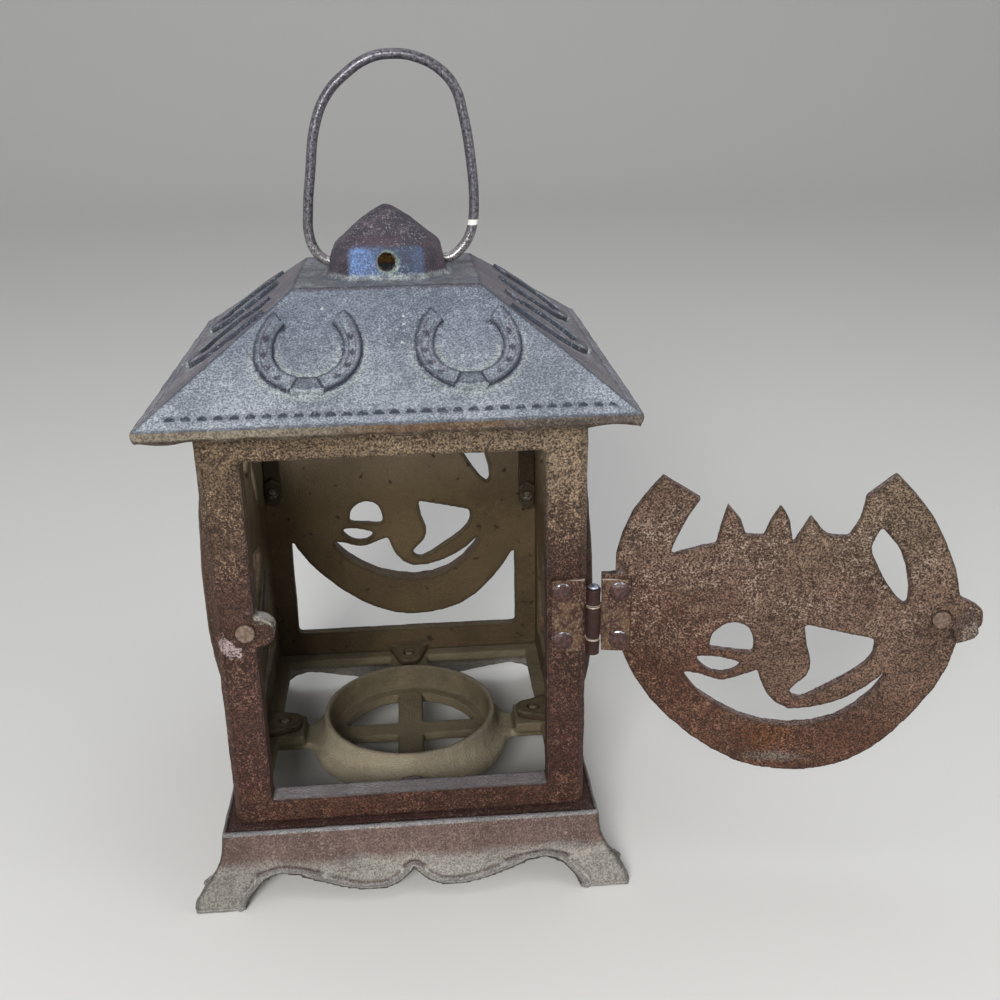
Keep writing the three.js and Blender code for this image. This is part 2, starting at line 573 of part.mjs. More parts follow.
function makeRoof() {
  const shell = fourSided([
    [0, PLATEAU], [PLATEAU_HALF, PLATEAU], [EAVE_HALF - 0.8, EAVE_TOP + 0.3], [EAVE_HALF, EAVE_TOP - 0.5],
    [EAVE_HALF, EAVE_TOP - EAVE_THICK], [PLATEAU_HALF, PLATEAU - EAVE_THICK], [0, PLATEAU - EAVE_THICK],
  ]);
  const rimTop = (half) => underside(half) + LAP;
  const seatLow = WALL_TOP + SEAT;
  const outer = WALL_HALF + SEAT;
  const inner = FRONT_IN - SEAT;
  const rims = fourSided([
    [outer + RIM_THICK, rimTop(outer + RIM_THICK)], [outer + RIM_THICK, seatLow - RIM_DROP],
    [outer, seatLow - RIM_DROP], [outer, seatLow], [inner, seatLow], [inner, seatLow - RIM_DROP],
    [inner - RIM_THICK, seatLow - RIM_DROP], [inner - RIM_THICK, rimTop(inner - RIM_THICK)],
    [outer + RIM_THICK, rimTop(outer + RIM_THICK)],
  ]);
  const shoes = [0, 90, 180, 270].flatMap((angle) => (
    [-1, 1].map((side) => roofShoe(side).transform(onSlope(angle).elements))
  ));
  const foot = capRing(CAP_HALF + CAP_FLARE, CAP_HALF * 0.62, PLATEAU - LAP);
  const cap = loft([foot, ...capProfile(0)]);
  const hollow = loft([
    capRing(CAP_HALF - CAP_WALL, CAP_HALF * 0.5, PLATEAU - EAVE_THICK - LAP), ...capProfile(CAP_WALL),
  ]);
  const across = CAP_HALF + CAP_FLARE + LAP;
  const vent = bar(VENT_RADIUS, -across, across, 14, chain(at(0, 0, PLATEAU + VENT_HEIGHT), turnX(90)));
  const bailHole = bar(WIRE_RADIUS + SEAT, -across, across, 12, chain(at(0, 0, PIVOT_Z), turnY(90)));
  const legs = Object.keys(legSides).map(makeLeg);
  return cut(join(shell, rims, ...legs, ...shoes, cap), hollow, vent, bailHole);
}

// Wire bail

// Each leg of the bail from its end in the cap: x out from the cap's side, z up from the pivot
const BAIL_LEFT = [[1.8, 0.7], [4.6, 3.6], [6.4, 9], [6.2, 17], [4.6, 29], [1.5, 46]];
const BAIL_RIGHT = [[2.3, 0.3], [5.4, 2.6], [8.5, 6.7], [10.2, 12], [10.8, 20], [10, 33], [7.7, 48]];
const BAIL_CROWN = [
  [-17.3, 54.6], [-10.7, 61], [-3, 65.6], [5, 66.9], [13, 65.7], [20.8, 61.5], [25.4, 55.8],
];

function makeHandle() {
  const point = (x, z) => new THREE.Vector3(x, 0, z);
  const straightEnd = [1, 0.5, 0].map((share) => CAP_HALF - BAIL_END * share);
  const route = new THREE.CatmullRomCurve3([
    ...straightEnd.map((out) => point(-out, 0)),
    ...BAIL_LEFT.map(([out, up]) => point(-CAP_HALF - out, up)),
    ...BAIL_CROWN.map(([x, up]) => point(x, up)),
    ...BAIL_RIGHT.toReversed().map(([out, up]) => point(CAP_HALF + out, up)),
    ...straightEnd.toReversed().map((out) => point(out, 0)),
  ], false, 'centripetal');
  const section = new THREE.Shape();
  section.absarc(0, 0, WIRE_RADIUS, 0, 2 * Math.PI, false);
  const options = { steps: 56, bevelEnabled: false, extrudePath: route, curveSegments: 4 };
  return solid(new THREE.ExtrudeGeometry(section, options), at(0, 0, PIVOT_Z));
}

// Hinge, in the hinge's own frame: the pin runs along z at x = y = 0, the frame's leaf runs along -x against
// the face at y = +PIN_TO_FACE, and the door's leaf runs along +x against the same plane

const knuckleLevels = {
  upper: [KNUCKLE_HIGH - KNUCKLE_ENDS, KNUCKLE_HIGH],
  middle: [LEAF_LOW + KNUCKLE_ENDS + SEAT, KNUCKLE_HIGH - KNUCKLE_ENDS - SEAT],
  lower: [LEAF_LOW, LEAF_LOW + KNUCKLE_ENDS],
};

function makeLeaf(direction, width, rivetFromPin, ownKnuckles, otherKnuckles) {
  const leafFace = KNUCKLE_RADIUS - LEAF_THICK;
  const [left, right] = direction < 0 ? [-width, 0] : [0, width];
  const plate = block([left, leafFace, LEAF_LOW], [right, KNUCKLE_RADIUS, LEAF_HIGH]);
  const knuckles = ownKnuckles.map((name) => bar(KNUCKLE_RADIUS, ...knuckleLevels[name], 16));
  const room = KNUCKLE_RADIUS + SEAT;
  const notches = otherKnuckles.map((name) => {
    const [low, high] = knuckleLevels[name];
    return block([-room, -room, low - SEAT], [room, room, high + SEAT]);
  });
  const headRoom = block([-room, -room, KNUCKLE_HIGH], [room, room, LEAF_HIGH + LAP]);
  const bore = bar(PIN_RADIUS + SEAT, LEAF_LOW - LAP, LEAF_HIGH + LAP, 12);
  const holes = Object.values(RIVET_LEVELS).map((z) => (
    bar(RIVET_RADIUS + SEAT, 0, PIN_TO_FACE, 10, chain(at(direction * rivetFromPin, 0, z), turnX(-90)))
  ));
  return cut(join(plate, ...knuckles), ...notches, headRoom, bore, ...holes);
}

function makePin() {
  const top = KNUCKLE_HIGH + SEAT;
  return turned([
    [0, LEAF_LOW], [PIN_RADIUS, LEAF_LOW], [PIN_RADIUS, top], [PIN_HEAD_RADIUS, top],
    [PIN_HEAD_RADIUS, top + 0.5], [PIN_HEAD_RADIUS * 0.6, top + 0.9], [0, top + 1],
  ], 12);
}

// A rivet that stands along +y: a domed head in front of the leaf, and a tail head behind the casting
function makeRivet(thick) {
  const leafFace = KNUCKLE_RADIUS - LEAF_THICK;
  const front = leafFace - 0.1;
  const back = PIN_TO_FACE + thick + SEAT;
  const dome = [1, 0.86, 0.5, 0].map((share) => (
    [RIVET_HEAD_RADIUS * share, front - RIVET_HEAD_HEIGHT * Math.sqrt(1 - share * share)]
  ));
  return turned([
    ...dome.reverse(), [RIVET_RADIUS, front], [RIVET_RADIUS, back], [RIVET_TAIL_RADIUS, back],
    [RIVET_TAIL_RADIUS * 0.7, back + 0.8], [0, back + 1],
  ], 12, turnX(-90));
}

// Door, drawn as seen from inside with the middle of its horseshoe at the origin and its inner face at z = 0.
// A tab carries the hinge's leaf. The tab across from it carries the strike, and a raised lip on its end is
// the finger grip and meets the frame when the door is shut.
function makeDoor() {
  const flat = at(0, 0, -DOOR_THICK);
  const leafFoot = LEAF_LOW - DOOR_SHOE_Z;
  const leafHead = LEAF_HIGH - DOOR_SHOE_Z;
  const hingeEdge = PIN_TO_FACE - HINGE_X;
  const hingeTab = slab([
    [8 - DOOR_HALF, leafFoot - 1.1], [1.2 - DOOR_HALF, leafFoot + 0.4], [hingeEdge, leafFoot + 1.4],
    [hingeEdge, leafHead + 3.6], [8 - DOOR_HALF, leafHead + 4.2],
  ], DOOR_THICK, flat);
  const pastEdge = (points) => points.map(([u, v]) => [DOOR_HALF + u, v - CATCH_DROP]);
  const catchTab = slab(
    pastEdge([
      [-1, 8.6], [4.7, 5.7], [7.1, 3.4], [7.7, 0], [7.2, -2.6], [4.6, -5.2], [-1.5, -9.4], [-8, -2.1],
    ]),
    DOOR_THICK, flat,
  );
  const lip = slab(
    pastEdge([[2.7, 4.8], [-3.2, -2.4], [-2.6, -5], [-1.6, -6.2], [3.6, -4.2], [4.6, -2.3], [3.6, 4.3]]),
    CLOSED_GAP - SEAT + LAP, at(0, 0, -LAP),
  );
  const raised = band(DOOR_SCALE, DOOR_THICK - LAP, DOOR_THICK + DOOR_BAND_PROUD);
  const pocket = bar(MAGNET_RADIUS + SEAT / 2, -MAGNET_POCKET, LAP, 16, at(-CATCH_X, -CATCH_DROP, 0));
  const holes = Object.values(RIVET_LEVELS).map((z) => {
    const place = at(DOOR_RIVET_FROM_PIN - HINGE_X, z - DOOR_SHOE_Z, 0);
    return bar(RIVET_RADIUS + SEAT, -DOOR_THICK - DOOR_BAND_PROUD - LAP, LAP, 10, place);
  });
  const casting = join(openwork(DOOR_SCALE, DOOR_THICK), hingeTab, catchTab, lip, raised);
  return cut(casting, pocket, ...holes);
}

// Screws, standing along +z with the head's seat at z = 0 and the head below it
function makeScrew(radius, headRadius, headThick, length) {
  return turned([
    [0, -headThick], [headRadius * 0.7, -headThick], [headRadius, -headThick * 0.5], [headRadius, 0],
    [radius, 0], [radius, length - 0.4], [radius - 0.4, length], [0, length],
  ], 12);
}

function makeDisc(thick) {
  const r = MAGNET_RADIUS;
  return turned([[0, 0], [r, 0], [r, thick - 0.3], [r - 0.3, thick], [0, thick]], 16);
}

// Materials

const finish = (color, roughness, metalness) => (
  new THREE.MeshStandardMaterial({ color, roughness, metalness })
);
const iron = {
  base: () => finish(0x3d362e, 0.7, 0.5),
  wall: () => finish(0x3a2f27, 0.7, 0.5),
  roof: () => finish(0x4a4b50, 0.5, 0.6),
  door: () => finish(0x372e29, 0.75, 0.5),
};
const steel = {
  wire: () => finish(0x6b6a68, 0.4, 0.9),
  hinge: () => finish(0x3b2a26, 0.5, 0.8),
  bright: () => finish(0x9aa0aa, 0.3, 1),
  magnet: () => finish(0x6e675b, 0.5, 0.8),
};

// Assembly

const lantern = new THREE.Group();

function add(name, manifold, material, parent = lantern) {
  const mesh = new THREE.Mesh(toGeometry(manifold), material);
  mesh.name = name;
  parent.add(mesh);
  return mesh;
}

add('base', makeBase(), iron.base());
add('front_frame', makeFrontFrame(), iron.wall());
add('roof', makeRoof(), iron.roof());

// A wall's own frame, turned upright and set at its place
function placeWall(name, manifold, turn, x, y) {
  const stand = new THREE.Group();
  stand.position.set(x, y, 0);
  stand.rotation.z = THREE.MathUtils.degToRad(turn);
  lantern.add(stand);
  add(name, manifold, iron.wall(), stand).rotation.x = Math.PI / 2;
}

placeWall('back_panel', makeBackPanel(), 0, 0, WALL_IN);
placeWall('left_panel', makeSidePanel(false), 90, -WALL_IN, 0);
placeWall('right_panel', makeSidePanel(true), -90, WALL_IN, 0);

add('handle', makeHandle(), steel.wire());

const hinge = new THREE.Group();
hinge.position.set(HINGE_X, PIN_Y, 0);
lantern.add(hinge);
const frameLeaf = makeLeaf(-1, FRAME_LEAF_WIDTH, FRAME_RIVET_FROM_PIN, ['upper', 'lower'], ['middle']);
add('hinge_frame_leaf', frameLeaf, steel.hinge(), hinge);
add('hinge_pin', makePin(), steel.bright(), hinge);

const swing = new THREE.Group();
swing.rotation.z = THREE.MathUtils.degToRad(DOOR_REST_ANGLE);
hinge.add(swing);
const door = add('door', makeDoor(), iron.door(), swing);
door.position.set(HINGE_X, PIN_TO_FACE, DOOR_SHOE_Z);
door.rotation.x = Math.PI / 2;
const doorLeaf = makeLeaf(1, DOOR_LEAF_WIDTH, DOOR_RIVET_FROM_PIN, ['middle'], ['upper', 'lower']);
add('hinge_door_leaf', doorLeaf, steel.hinge(), swing);

Object.entries(RIVET_LEVELS).forEach(([level, z]) => {
  add(`frame_rivet_${level}`, makeRivet(FRONT_THICK), steel.hinge(), hinge)
    .position.set(-FRAME_RIVET_FROM_PIN, 0, z);
  add(`door_rivet_${level}`, makeRivet(DOOR_THICK + DOOR_BAND_PROUD), steel.hinge(), swing)
    .position.set(DOOR_RIVET_FROM_PIN, 0, z);
});

// Each disc of the catch sits in its pocket and stands a little proud of its casting
const discSeat = MAGNET_POCKET - SEAT;
const discThick = discSeat + MAGNET_PROUD;
const strike = add('door_strike', makeDisc(discThick), steel.magnet(), swing);
strike.position.set(HINGE_X - CATCH_X, PIN_TO_FACE, CATCH_Z);
strike.rotation.x = Math.PI / 2;
strike.translateZ(-discSeat);
const magnet = add('catch_magnet', makeDisc(discThick), steel.magnet());
magnet.position.set(CATCH_X, -WALL_HALF, CATCH_Z);
magnet.rotation.x = Math.PI / 2;
magnet.translateZ(-discSeat);

const screwSeat = ARM_TOP - ARM_THICK - SEAT;
const baseScrewLength = WALL_LOW + LUG_THICK - SEAT - screwSeat;
['back', 'left', 'front', 'right'].forEach((side, quarter) => {
  const screw = makeScrew(SCREW_RADIUS, SCREW_HEAD_RADIUS, SCREW_HEAD_THICK, baseScrewLength);
  const angle = (quarter * Math.PI) / 2;
  add(`base_screw_${side}`, screw, steel.hinge())
    .position.set(-SCREW_AT * Math.sin(angle), SCREW_AT * Math.cos(angle), screwSeat);
});

const legFootFace = WALL_IN - SEAT - LEG_FOOT_THICK;
const legScrewSeat = legFootFace - SEAT;
const legScrewLength = WALL_HALF - LEG_SCREW_SKIN - SEAT - legScrewSeat;
Object.keys(legSides).forEach((side) => {
  const screw = makeScrew(LEG_SCREW_RADIUS, LEG_SCREW_HEAD_RADIUS, LEG_SCREW_HEAD_THICK, legScrewLength);
  const mesh = add(`leg_screw_${side}`, screw, iron.roof());
  mesh.position.set(legPlace(side).x, legScrewSeat, legScrewZ(side));
  mesh.rotation.x = -Math.PI / 2;
});

lantern.position.z = -CANDLE_SEAT;

export default lantern;
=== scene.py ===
import json
import math

import bmesh
import bpy
import numpy as np
from mathutils import Matrix, Vector


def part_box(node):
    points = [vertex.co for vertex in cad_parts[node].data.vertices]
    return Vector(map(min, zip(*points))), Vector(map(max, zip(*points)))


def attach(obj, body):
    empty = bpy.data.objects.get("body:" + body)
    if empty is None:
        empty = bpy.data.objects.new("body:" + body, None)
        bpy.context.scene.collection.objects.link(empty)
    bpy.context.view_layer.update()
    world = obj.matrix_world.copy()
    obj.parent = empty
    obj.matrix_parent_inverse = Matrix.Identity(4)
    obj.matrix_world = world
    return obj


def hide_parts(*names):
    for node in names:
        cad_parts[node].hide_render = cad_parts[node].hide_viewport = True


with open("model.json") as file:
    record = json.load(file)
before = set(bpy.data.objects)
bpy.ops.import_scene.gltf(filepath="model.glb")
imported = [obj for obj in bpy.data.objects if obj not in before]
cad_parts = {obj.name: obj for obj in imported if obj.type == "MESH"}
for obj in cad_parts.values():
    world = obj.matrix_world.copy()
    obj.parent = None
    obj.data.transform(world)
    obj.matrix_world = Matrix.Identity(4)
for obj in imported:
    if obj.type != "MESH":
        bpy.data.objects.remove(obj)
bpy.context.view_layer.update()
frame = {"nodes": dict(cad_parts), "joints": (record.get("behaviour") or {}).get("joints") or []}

# Camera
# It stands in front of the lantern, just above the roof, where the photo was taken from, and looks down at
# the candle cup. Its small roll is that of a picture taken by hand.
CAMERA_AT = (0.00686, -0.40025, 0.25757)
CAMERA_TURN = 0.0783  # radians to the right of straight ahead
CAMERA_DOWN = 0.376
CAMERA_ROLL = -0.0151
CAMERA_LENS, CAMERA_SENSOR = 40.645, 36  # in millimetres

camera = bpy.data.objects.new("camera", bpy.data.cameras.new("camera"))
camera.data.lens = CAMERA_LENS
camera.data.sensor_width = CAMERA_SENSOR
camera.data.clip_start = 0.01
camera.data.clip_end = 20
camera.matrix_world = (
    Matrix.Translation(CAMERA_AT)
    @ Matrix.Rotation(-CAMERA_TURN, 4, "Z")
    @ Matrix.Rotation(math.pi / 2 - CAMERA_DOWN, 4, "X")
    @ Matrix.Rotation(CAMERA_ROLL, 4, "Z")
)
bpy.context.scene.collection.objects.link(camera)
bpy.context.scene.camera = camera

# Base
# One sand casting: the skirt on its four feet, the ledge that the walls stand on, and the candle cup on four
# arms. It is painted brown-black, its flare and lower edges a pale sandy grey, and dust lies on all that
# faces up. A painted highlight runs along the ledge's edge and the bead of the skirt's lower edge, and
# painted shade lies in the ledge's groove, under that edge and on the cup's inner faces.
COARSER = 1
BASE_SAND = 0.0006 * COARSER  # finest step of the skin that the mould leaves
BASE_FACES = 190000
MOULD_WAVES = ((0.014, 0.0005), (0.0035, 0.00022))  # size of each unevenness of the mould, and its height
EDGE_ROUNDS = 10
EDGE_HEIGHT = 0.0004  # what a sharp edge loses when it is smoothed over that many rounds
FLOOR_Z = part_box("base")[0].z
LEDGE_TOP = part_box("front_frame")[0].z - 0.0003  # the walls stand a hair above it
LEDGE_HALF = 0.067
FASCIA_LOW = FLOOR_Z + 0.016
LEDGE_GROOVE = (0.0017, 0.0007, 0.0005)  # in from the ledge's edge, half-width and depth
FOOT_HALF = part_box("base")[1].x
APRON_HALF = FOOT_HALF - 0.0178  # from the middle to the inner side of a foot
APRON_RISE = 0.0096  # height of the highest point of the skirt's lower edge
APRON_WAVE = (  # the skirt's wavy edge, from a foot to the middle, as shares of those two
    (1, 0), (0.958, 0.42), (0.89, 0.84), (0.79, 1), (0.672, 0.91), (0.521, 0.64), (0.38, 0.44),
    (0.276, 0.36), (0.156, 0.4), (0.076, 0.58), (0, 0.92),
)
APRON_LIFT = (  # that edge hangs this much higher, at heights over the floor
    (0, 0), (0.0035, 0.0013), (0.0088, 0.0012), (0.0096, 0.0018), (0.016, 0),
)
FLARE = (  # half-width of the skirt at heights over the floor
    (0, 0.0773), (0.0028, 0.0766), (0.0056, 0.0754), (0.0083, 0.0738), (0.0108, 0.0721), (0.0143, 0.0702),
    (0.0177, 0.0686), (0.0203, 0.0677), (0.0254, 0.067),
)
FLARE_REACH = (0.0575, 0.0655)  # it grows from nothing to its full width between these
SIDE_REACH = (0.06, 0.073)  # and at the sides only this near a corner
SIDE_TUCK = 0.0012  # the side feet stand in by this much past their corners
COVE = ((LEDGE_HALF, 0.016), (LEDGE_HALF + 0.001, 0.0053), (0.0773, 0.001))  # the cast hollow that it fills
BEAD_IN, BEAD_HALF, BEAD_PROUD = 0.002, 0.0014, 0.0008  # raised bead along that edge
INSIDE_ENDS = (0.0595, 0.0615)  # from the middle: the paint of the inside ends and that of the outside begins
CUP_INNER, CUP_OUTER = (0.0305, 0.0318), (0.045, 0.042)  # between these radii the cup is painted grey
GRAIN = 1600  # scale of the noise that stands for the grains of sand
BASE_DEEP = "#201712"
BASE_OLIVE = "#756b55"
BASE_GLINT = "#a89d90"
BASE_DUST = "#827a66"
BASE_WORN = "#8d867a"
CUP_GREY = "#a69c86"
FOOT_PALE = "#9d9a93"
SKIRT_GREY = "#afaba3"
SKIRT_PALE = "#cccbc9"
FASCIA_BROWN = "#7a655f"
LEDGE_DARK = "#482e2a"
LEDGE_HIGHLIGHT = "#c9c9d2"


def colour(code):
    """A colour as it looks on a screen, turned into the linear value that a shader takes."""
    parts = [int(code[i:i + 2], 16) / 255 for i in (1, 3, 5)]
    return (*[part / 12.92 if part < 0.04 else ((part + 0.055) / 1.055) ** 2.4 for part in parts], 1)


def settle(piece):
    """Turns the modifiers of a piece into its own mesh."""
    mesh = bpy.data.meshes.new_from_object(piece.evaluated_get(bpy.context.evaluated_depsgraph_get()))
    piece.modifiers.clear()
    piece.data = mesh


def piece_of(name, shape):
    """A new object that holds a bmesh."""
    mesh = bpy.data.meshes.new(name)
    shape.to_mesh(mesh)
    shape.free()
    piece = bpy.data.objects.new(name, mesh)
    bpy.context.scene.collection.objects.link(piece)
    return piece


def solid_of(node):
    """The closed solid of a node, with its loose triangles merged."""
    shape = bmesh.new()
    shape.from_mesh(frame["nodes"][node].data)
    bmesh.ops.remove_doubles(shape, verts=shape.verts, dist=1e-6)
    return shape


def points_of(mesh, what="co"):
    """Places or normals of a mesh's points, one row each."""
    rows = np.empty(len(mesh.vertices) * 3, np.float32)
    source = mesh.vertices if what == "co" else mesh.vertex_normals
    source.foreach_get("co" if what == "co" else "vector", rows)
    return rows.reshape(-1, 3)


def store(mesh, name, values):
    """Keeps one number for each point of a mesh, for its material."""
    layer = mesh.attributes.new(name, "FLOAT", "POINT")
    layer.data.foreach_set("value", np.clip(values, -1, 1).astype(np.float32))


def ease(value, low, high):
    """A smooth step from 0 at low to 1 at high."""
    share = np.clip((value - low) / (high - low), 0, 1)
    return share * share * (3 - 2 * share)


def hump(value, middle, half):
    """A smooth hump of height 1 round the middle."""
    return 1 - ease(np.abs(value - middle), 0, half)


def mark_edges(mesh):
    """Stores how far each point stands out of what is round it: 1 on an outer edge and -1 in a corner."""
    place = points_of(mesh)
    count = len(place)
    ends = np.empty(len(mesh.edges) * 2, np.int32)
    mesh.edges.foreach_get("vertices", ends)
    here, there = ends[::2], ends[1::2]
    neighbours = np.bincount(ends, minlength=count)
    smooth = place.copy()
    for _ in range(EDGE_ROUNDS):
        for axis in range(3):
            values = smooth[:, axis]
            around = np.bincount(here, values[there], count) + np.bincount(there, values[here], count)
            smooth[:, axis] = (values + around / neighbours) / 2
    store(mesh, "edge", ((place - smooth) * points_of(mesh, "normal")).sum(1) / EDGE_HEIGHT)


def cast(name, shape, step, faces, carve=None, rounds=4):
    """Fuses closed shapes into one skin with small round edges, as iron fills a mould of damp sand.

    carve takes the places and normals of its points, and gives their new places and the tone of their paint.
    """
    piece = piece_of(name, shape)
    fuse = piece.modifiers.new("fuse", "REMESH")
    fuse.mode = "VOXEL"
    fuse.voxel_size = step
    soften = piece.modifiers.new("soften", "SMOOTH")
    soften.iterations = rounds
    for size, height in MOULD_WAVES:
        sand = bpy.data.textures.new(f"{name}_sand", "CLOUDS")
        sand.noise_scale = size
        sand.noise_depth = 1
        wave = piece.modifiers.new("wave", "DISPLACE")
        wave.texture = sand
        wave.texture_coords = "LOCAL"
        wave.strength = height
    settle(piece)
    place, tone = points_of(piece.data), 0
    if carve:
        place, tone = carve(place, points_of(piece.data, "normal"))
        piece.data.vertices.foreach_set("co", place.ravel())
        piece.data.update()
    store(piece.data, "tone", tone + np.zeros(len(place)))
    mark_edges(piece.data)
    triangles = 2 * len(piece.data.polygons)
    if triangles > faces:
        thin = piece.modifiers.new("thin", "DECIMATE")
        thin.ratio = faces / triangles
        settle(piece)
    piece.data.shade_smooth()
    return piece


class Finish:
    """The node tree of one finish, with a short call for each kind of node that the finishes share."""

    def __init__(self, name):
        self.material = bpy.data.materials.new(name)
        self.material.use_nodes = True
        self.tree = self.material.node_tree
        self.shader = self.tree.nodes["Principled BSDF"]
        self.point = self.node("ShaderNodeTexCoord").outputs["Object"]
        self.x, self.y, self.z = self.axes(self.point)
        self.normal = self.axes(self.node("ShaderNodeNewGeometry").outputs["Normal"])
        self.up = self.normal[2]

    def node(self, kind, **settings):
        made = self.tree.nodes.new(kind)
        for name, value in settings.items():
            setattr(made, name, value)
        return made

    def feed(self, socket, value):
        if isinstance(value, bpy.types.NodeSocket):
            self.tree.links.new(value, socket)
        elif isinstance(value, str):
            socket.default_value = colour(value)
        else:
            socket.default_value = value

    def axes(self, vector):
        made = self.node("ShaderNodeSeparateXYZ")
        self.feed(made.inputs[0], vector)
        return list(made.outputs)

    def noise(self, scale, detail=2.0, roughness=0.5):
        made = self.node("ShaderNodeTexNoise")
        for name, value in (("Vector", self.point), ("Scale", scale), ("Detail", detail)):
            self.feed(made.inputs[name], value)
        self.feed(made.inputs["Roughness"], roughness)
        return made.outputs["Fac"]

    def share(self, value, low, high, start=0.0, end=1.0):
        """Where the value goes from low to high, a smooth step from start to end."""
        made = self.node("ShaderNodeMapRange", interpolation_type="SMOOTHSTEP")
        for socket, given in zip(made.inputs, (value, low, high, start, end)):
            self.feed(socket, given)
        return made.outputs["Result"]

    def mottle(self, scale, detail, *steps):
        """Patches of noise, with the steps of share."""
        return self.share(self.noise(scale, detail), *steps)

    def join(self, operation, result, *others):
        """One sum over all the values, from the first to the last."""
        for other in others:
            made = self.node("ShaderNodeMath", operation=operation)
            self.feed(made.inputs[0], result)
            self.feed(made.inputs[1], other)
            result = made.outputs[0]
        return result

    def times(self, *values):
        return self.join("MULTIPLY", *values)

    def plus(self, *values):
        return self.join("ADD", *values)

    def less(self, *values):
        return self.join("SUBTRACT", *values)

    def most(self, *values):
        return self.join("MAXIMUM", *values)

    def size(self, value):
        return self.join("ABSOLUTE", value, 0)

    def mix(self, factor, first, second):
        made = self.node("ShaderNodeMix", data_type="RGBA")
        for socket, value in ((0, factor), (6, first), (7, second)):
            self.feed(made.inputs[socket], value)
        return made.outputs[2]

    def lay(self, coat, where):
        """Lays a coat over what is painted so far, as thick as where says."""
        self.body = self.mix(where, self.body, coat)

    def kept(self, name):
        return self.node("ShaderNodeAttribute", attribute_name=name).outputs["Fac"]

    def reach(self):
        """How far each point is from the lantern's middle line, square on to the nearest wall."""
        return self.most(self.size(self.x), self.size(self.y))

    def outward(self):
        """Above 0 on a face that looks away from the middle line, and under 0 on one that looks at it."""
        return self.plus(self.times(self.x, self.normal[0]), self.times(self.y, self.normal[1]))

    def far(self, place, stretch=(1, 1, 1), ragged=0.0, scale=300):
        """How far each point is from a place, with its edge made ragged by some noise."""
        away = self.node("ShaderNodeVectorMath", operation="SUBTRACT")
        self.feed(away.inputs[0], self.point)
        away.inputs[1].default_value = place
        shorter = self.node("ShaderNodeVectorMath", operation="MULTIPLY")
        self.feed(shorter.inputs[0], away.outputs["Vector"])
        shorter.inputs[1].default_value = stretch
        length = self.node("ShaderNodeVectorMath", operation="LENGTH")
        self.feed(length.inputs[0], shorter.outputs["Vector"])
        if not ragged:
            return length.outputs["Value"]
        return self.plus(length.outputs["Value"], self.times(self.noise(scale, 3), ragged))

    def bump(self, height, distance, strength=1.0, under=None):
        made = self.node("ShaderNodeBump")
        for name, value in (("Height", height), ("Distance", distance), ("Strength", strength)):
            self.feed(made.inputs[name], value)
        if under:
            self.feed(made.inputs["Normal"], under)
        return made.outputs["Normal"]

    def made(self, sockets):
        """The finished material, with what the shader's sockets are fed."""
        for name, value in sockets.items():
            self.feed(self.shader.inputs[name], value)
        return self.material


def sand_cast(finish, deep, glint_colour, dust, worn, dust_share, speckle, worn_share=0.3, rough=0.55, crease_shade=0.5):
    """Lays grain, pits, painted glints, dust, rubbed edges, painted shade and bump over the paint's colour.
    """
    grain = finish.noise(GRAIN, 2, 0.6)
    clumps = finish.noise(380, 2)
    patch = finish.noise(42, 3)
    edge = finish.kept("edge")
    finish.lay(deep, finish.share(patch, 0.42, 0.68, 0, 0.3))
    # Dust on what faces up, which on the frame and the door is also a painted sheen on their tops
    finish.lay(dust, finish.times(finish.share(finish.up, 0.6, 0.98, 0, dust_share),
                                  finish.share(patch, 0.25, 0.6, 1, 0.6)))
    pits = finish.share(finish.plus(grain, finish.times(clumps, 0.25)), 0.78, 0.46)
    finish.lay(deep, finish.times(pits, 0.72, speckle))
    # Painted glints: pale specks on the grain, where light would glint on it
    glints = finish.share(finish.plus(grain, finish.times(clumps, 0.35)), 0.7, 0.95)
    finish.lay(glint_colour, finish.times(glints, finish.mottle(75, 2, 0.35, 0.65, 0.15, 0.75), speckle))
    # Painted shade along outer edges and in creases
    finish.lay(deep, finish.share(finish.size(edge), 0.08, 0.5, 0, crease_shade))
    rubbed = finish.times(finish.share(edge, 0.4, 0.9), finish.share(clumps, 0.3, 0.6, 0.3, 1))
    finish.lay(worn, finish.times(rubbed, worn_share))
    return finish.made({
        "Base Color": finish.body,
        "Specular IOR Level": 0.2,
        "Roughness": finish.share(finish.plus(grain, patch), 0.75, 1.25, rough - 0.13, rough + 0.13),
        "Normal": finish.bump(grain, 0.0007, 1.0, finish.bump(clumps, 0.0006, 0.6)),
    })


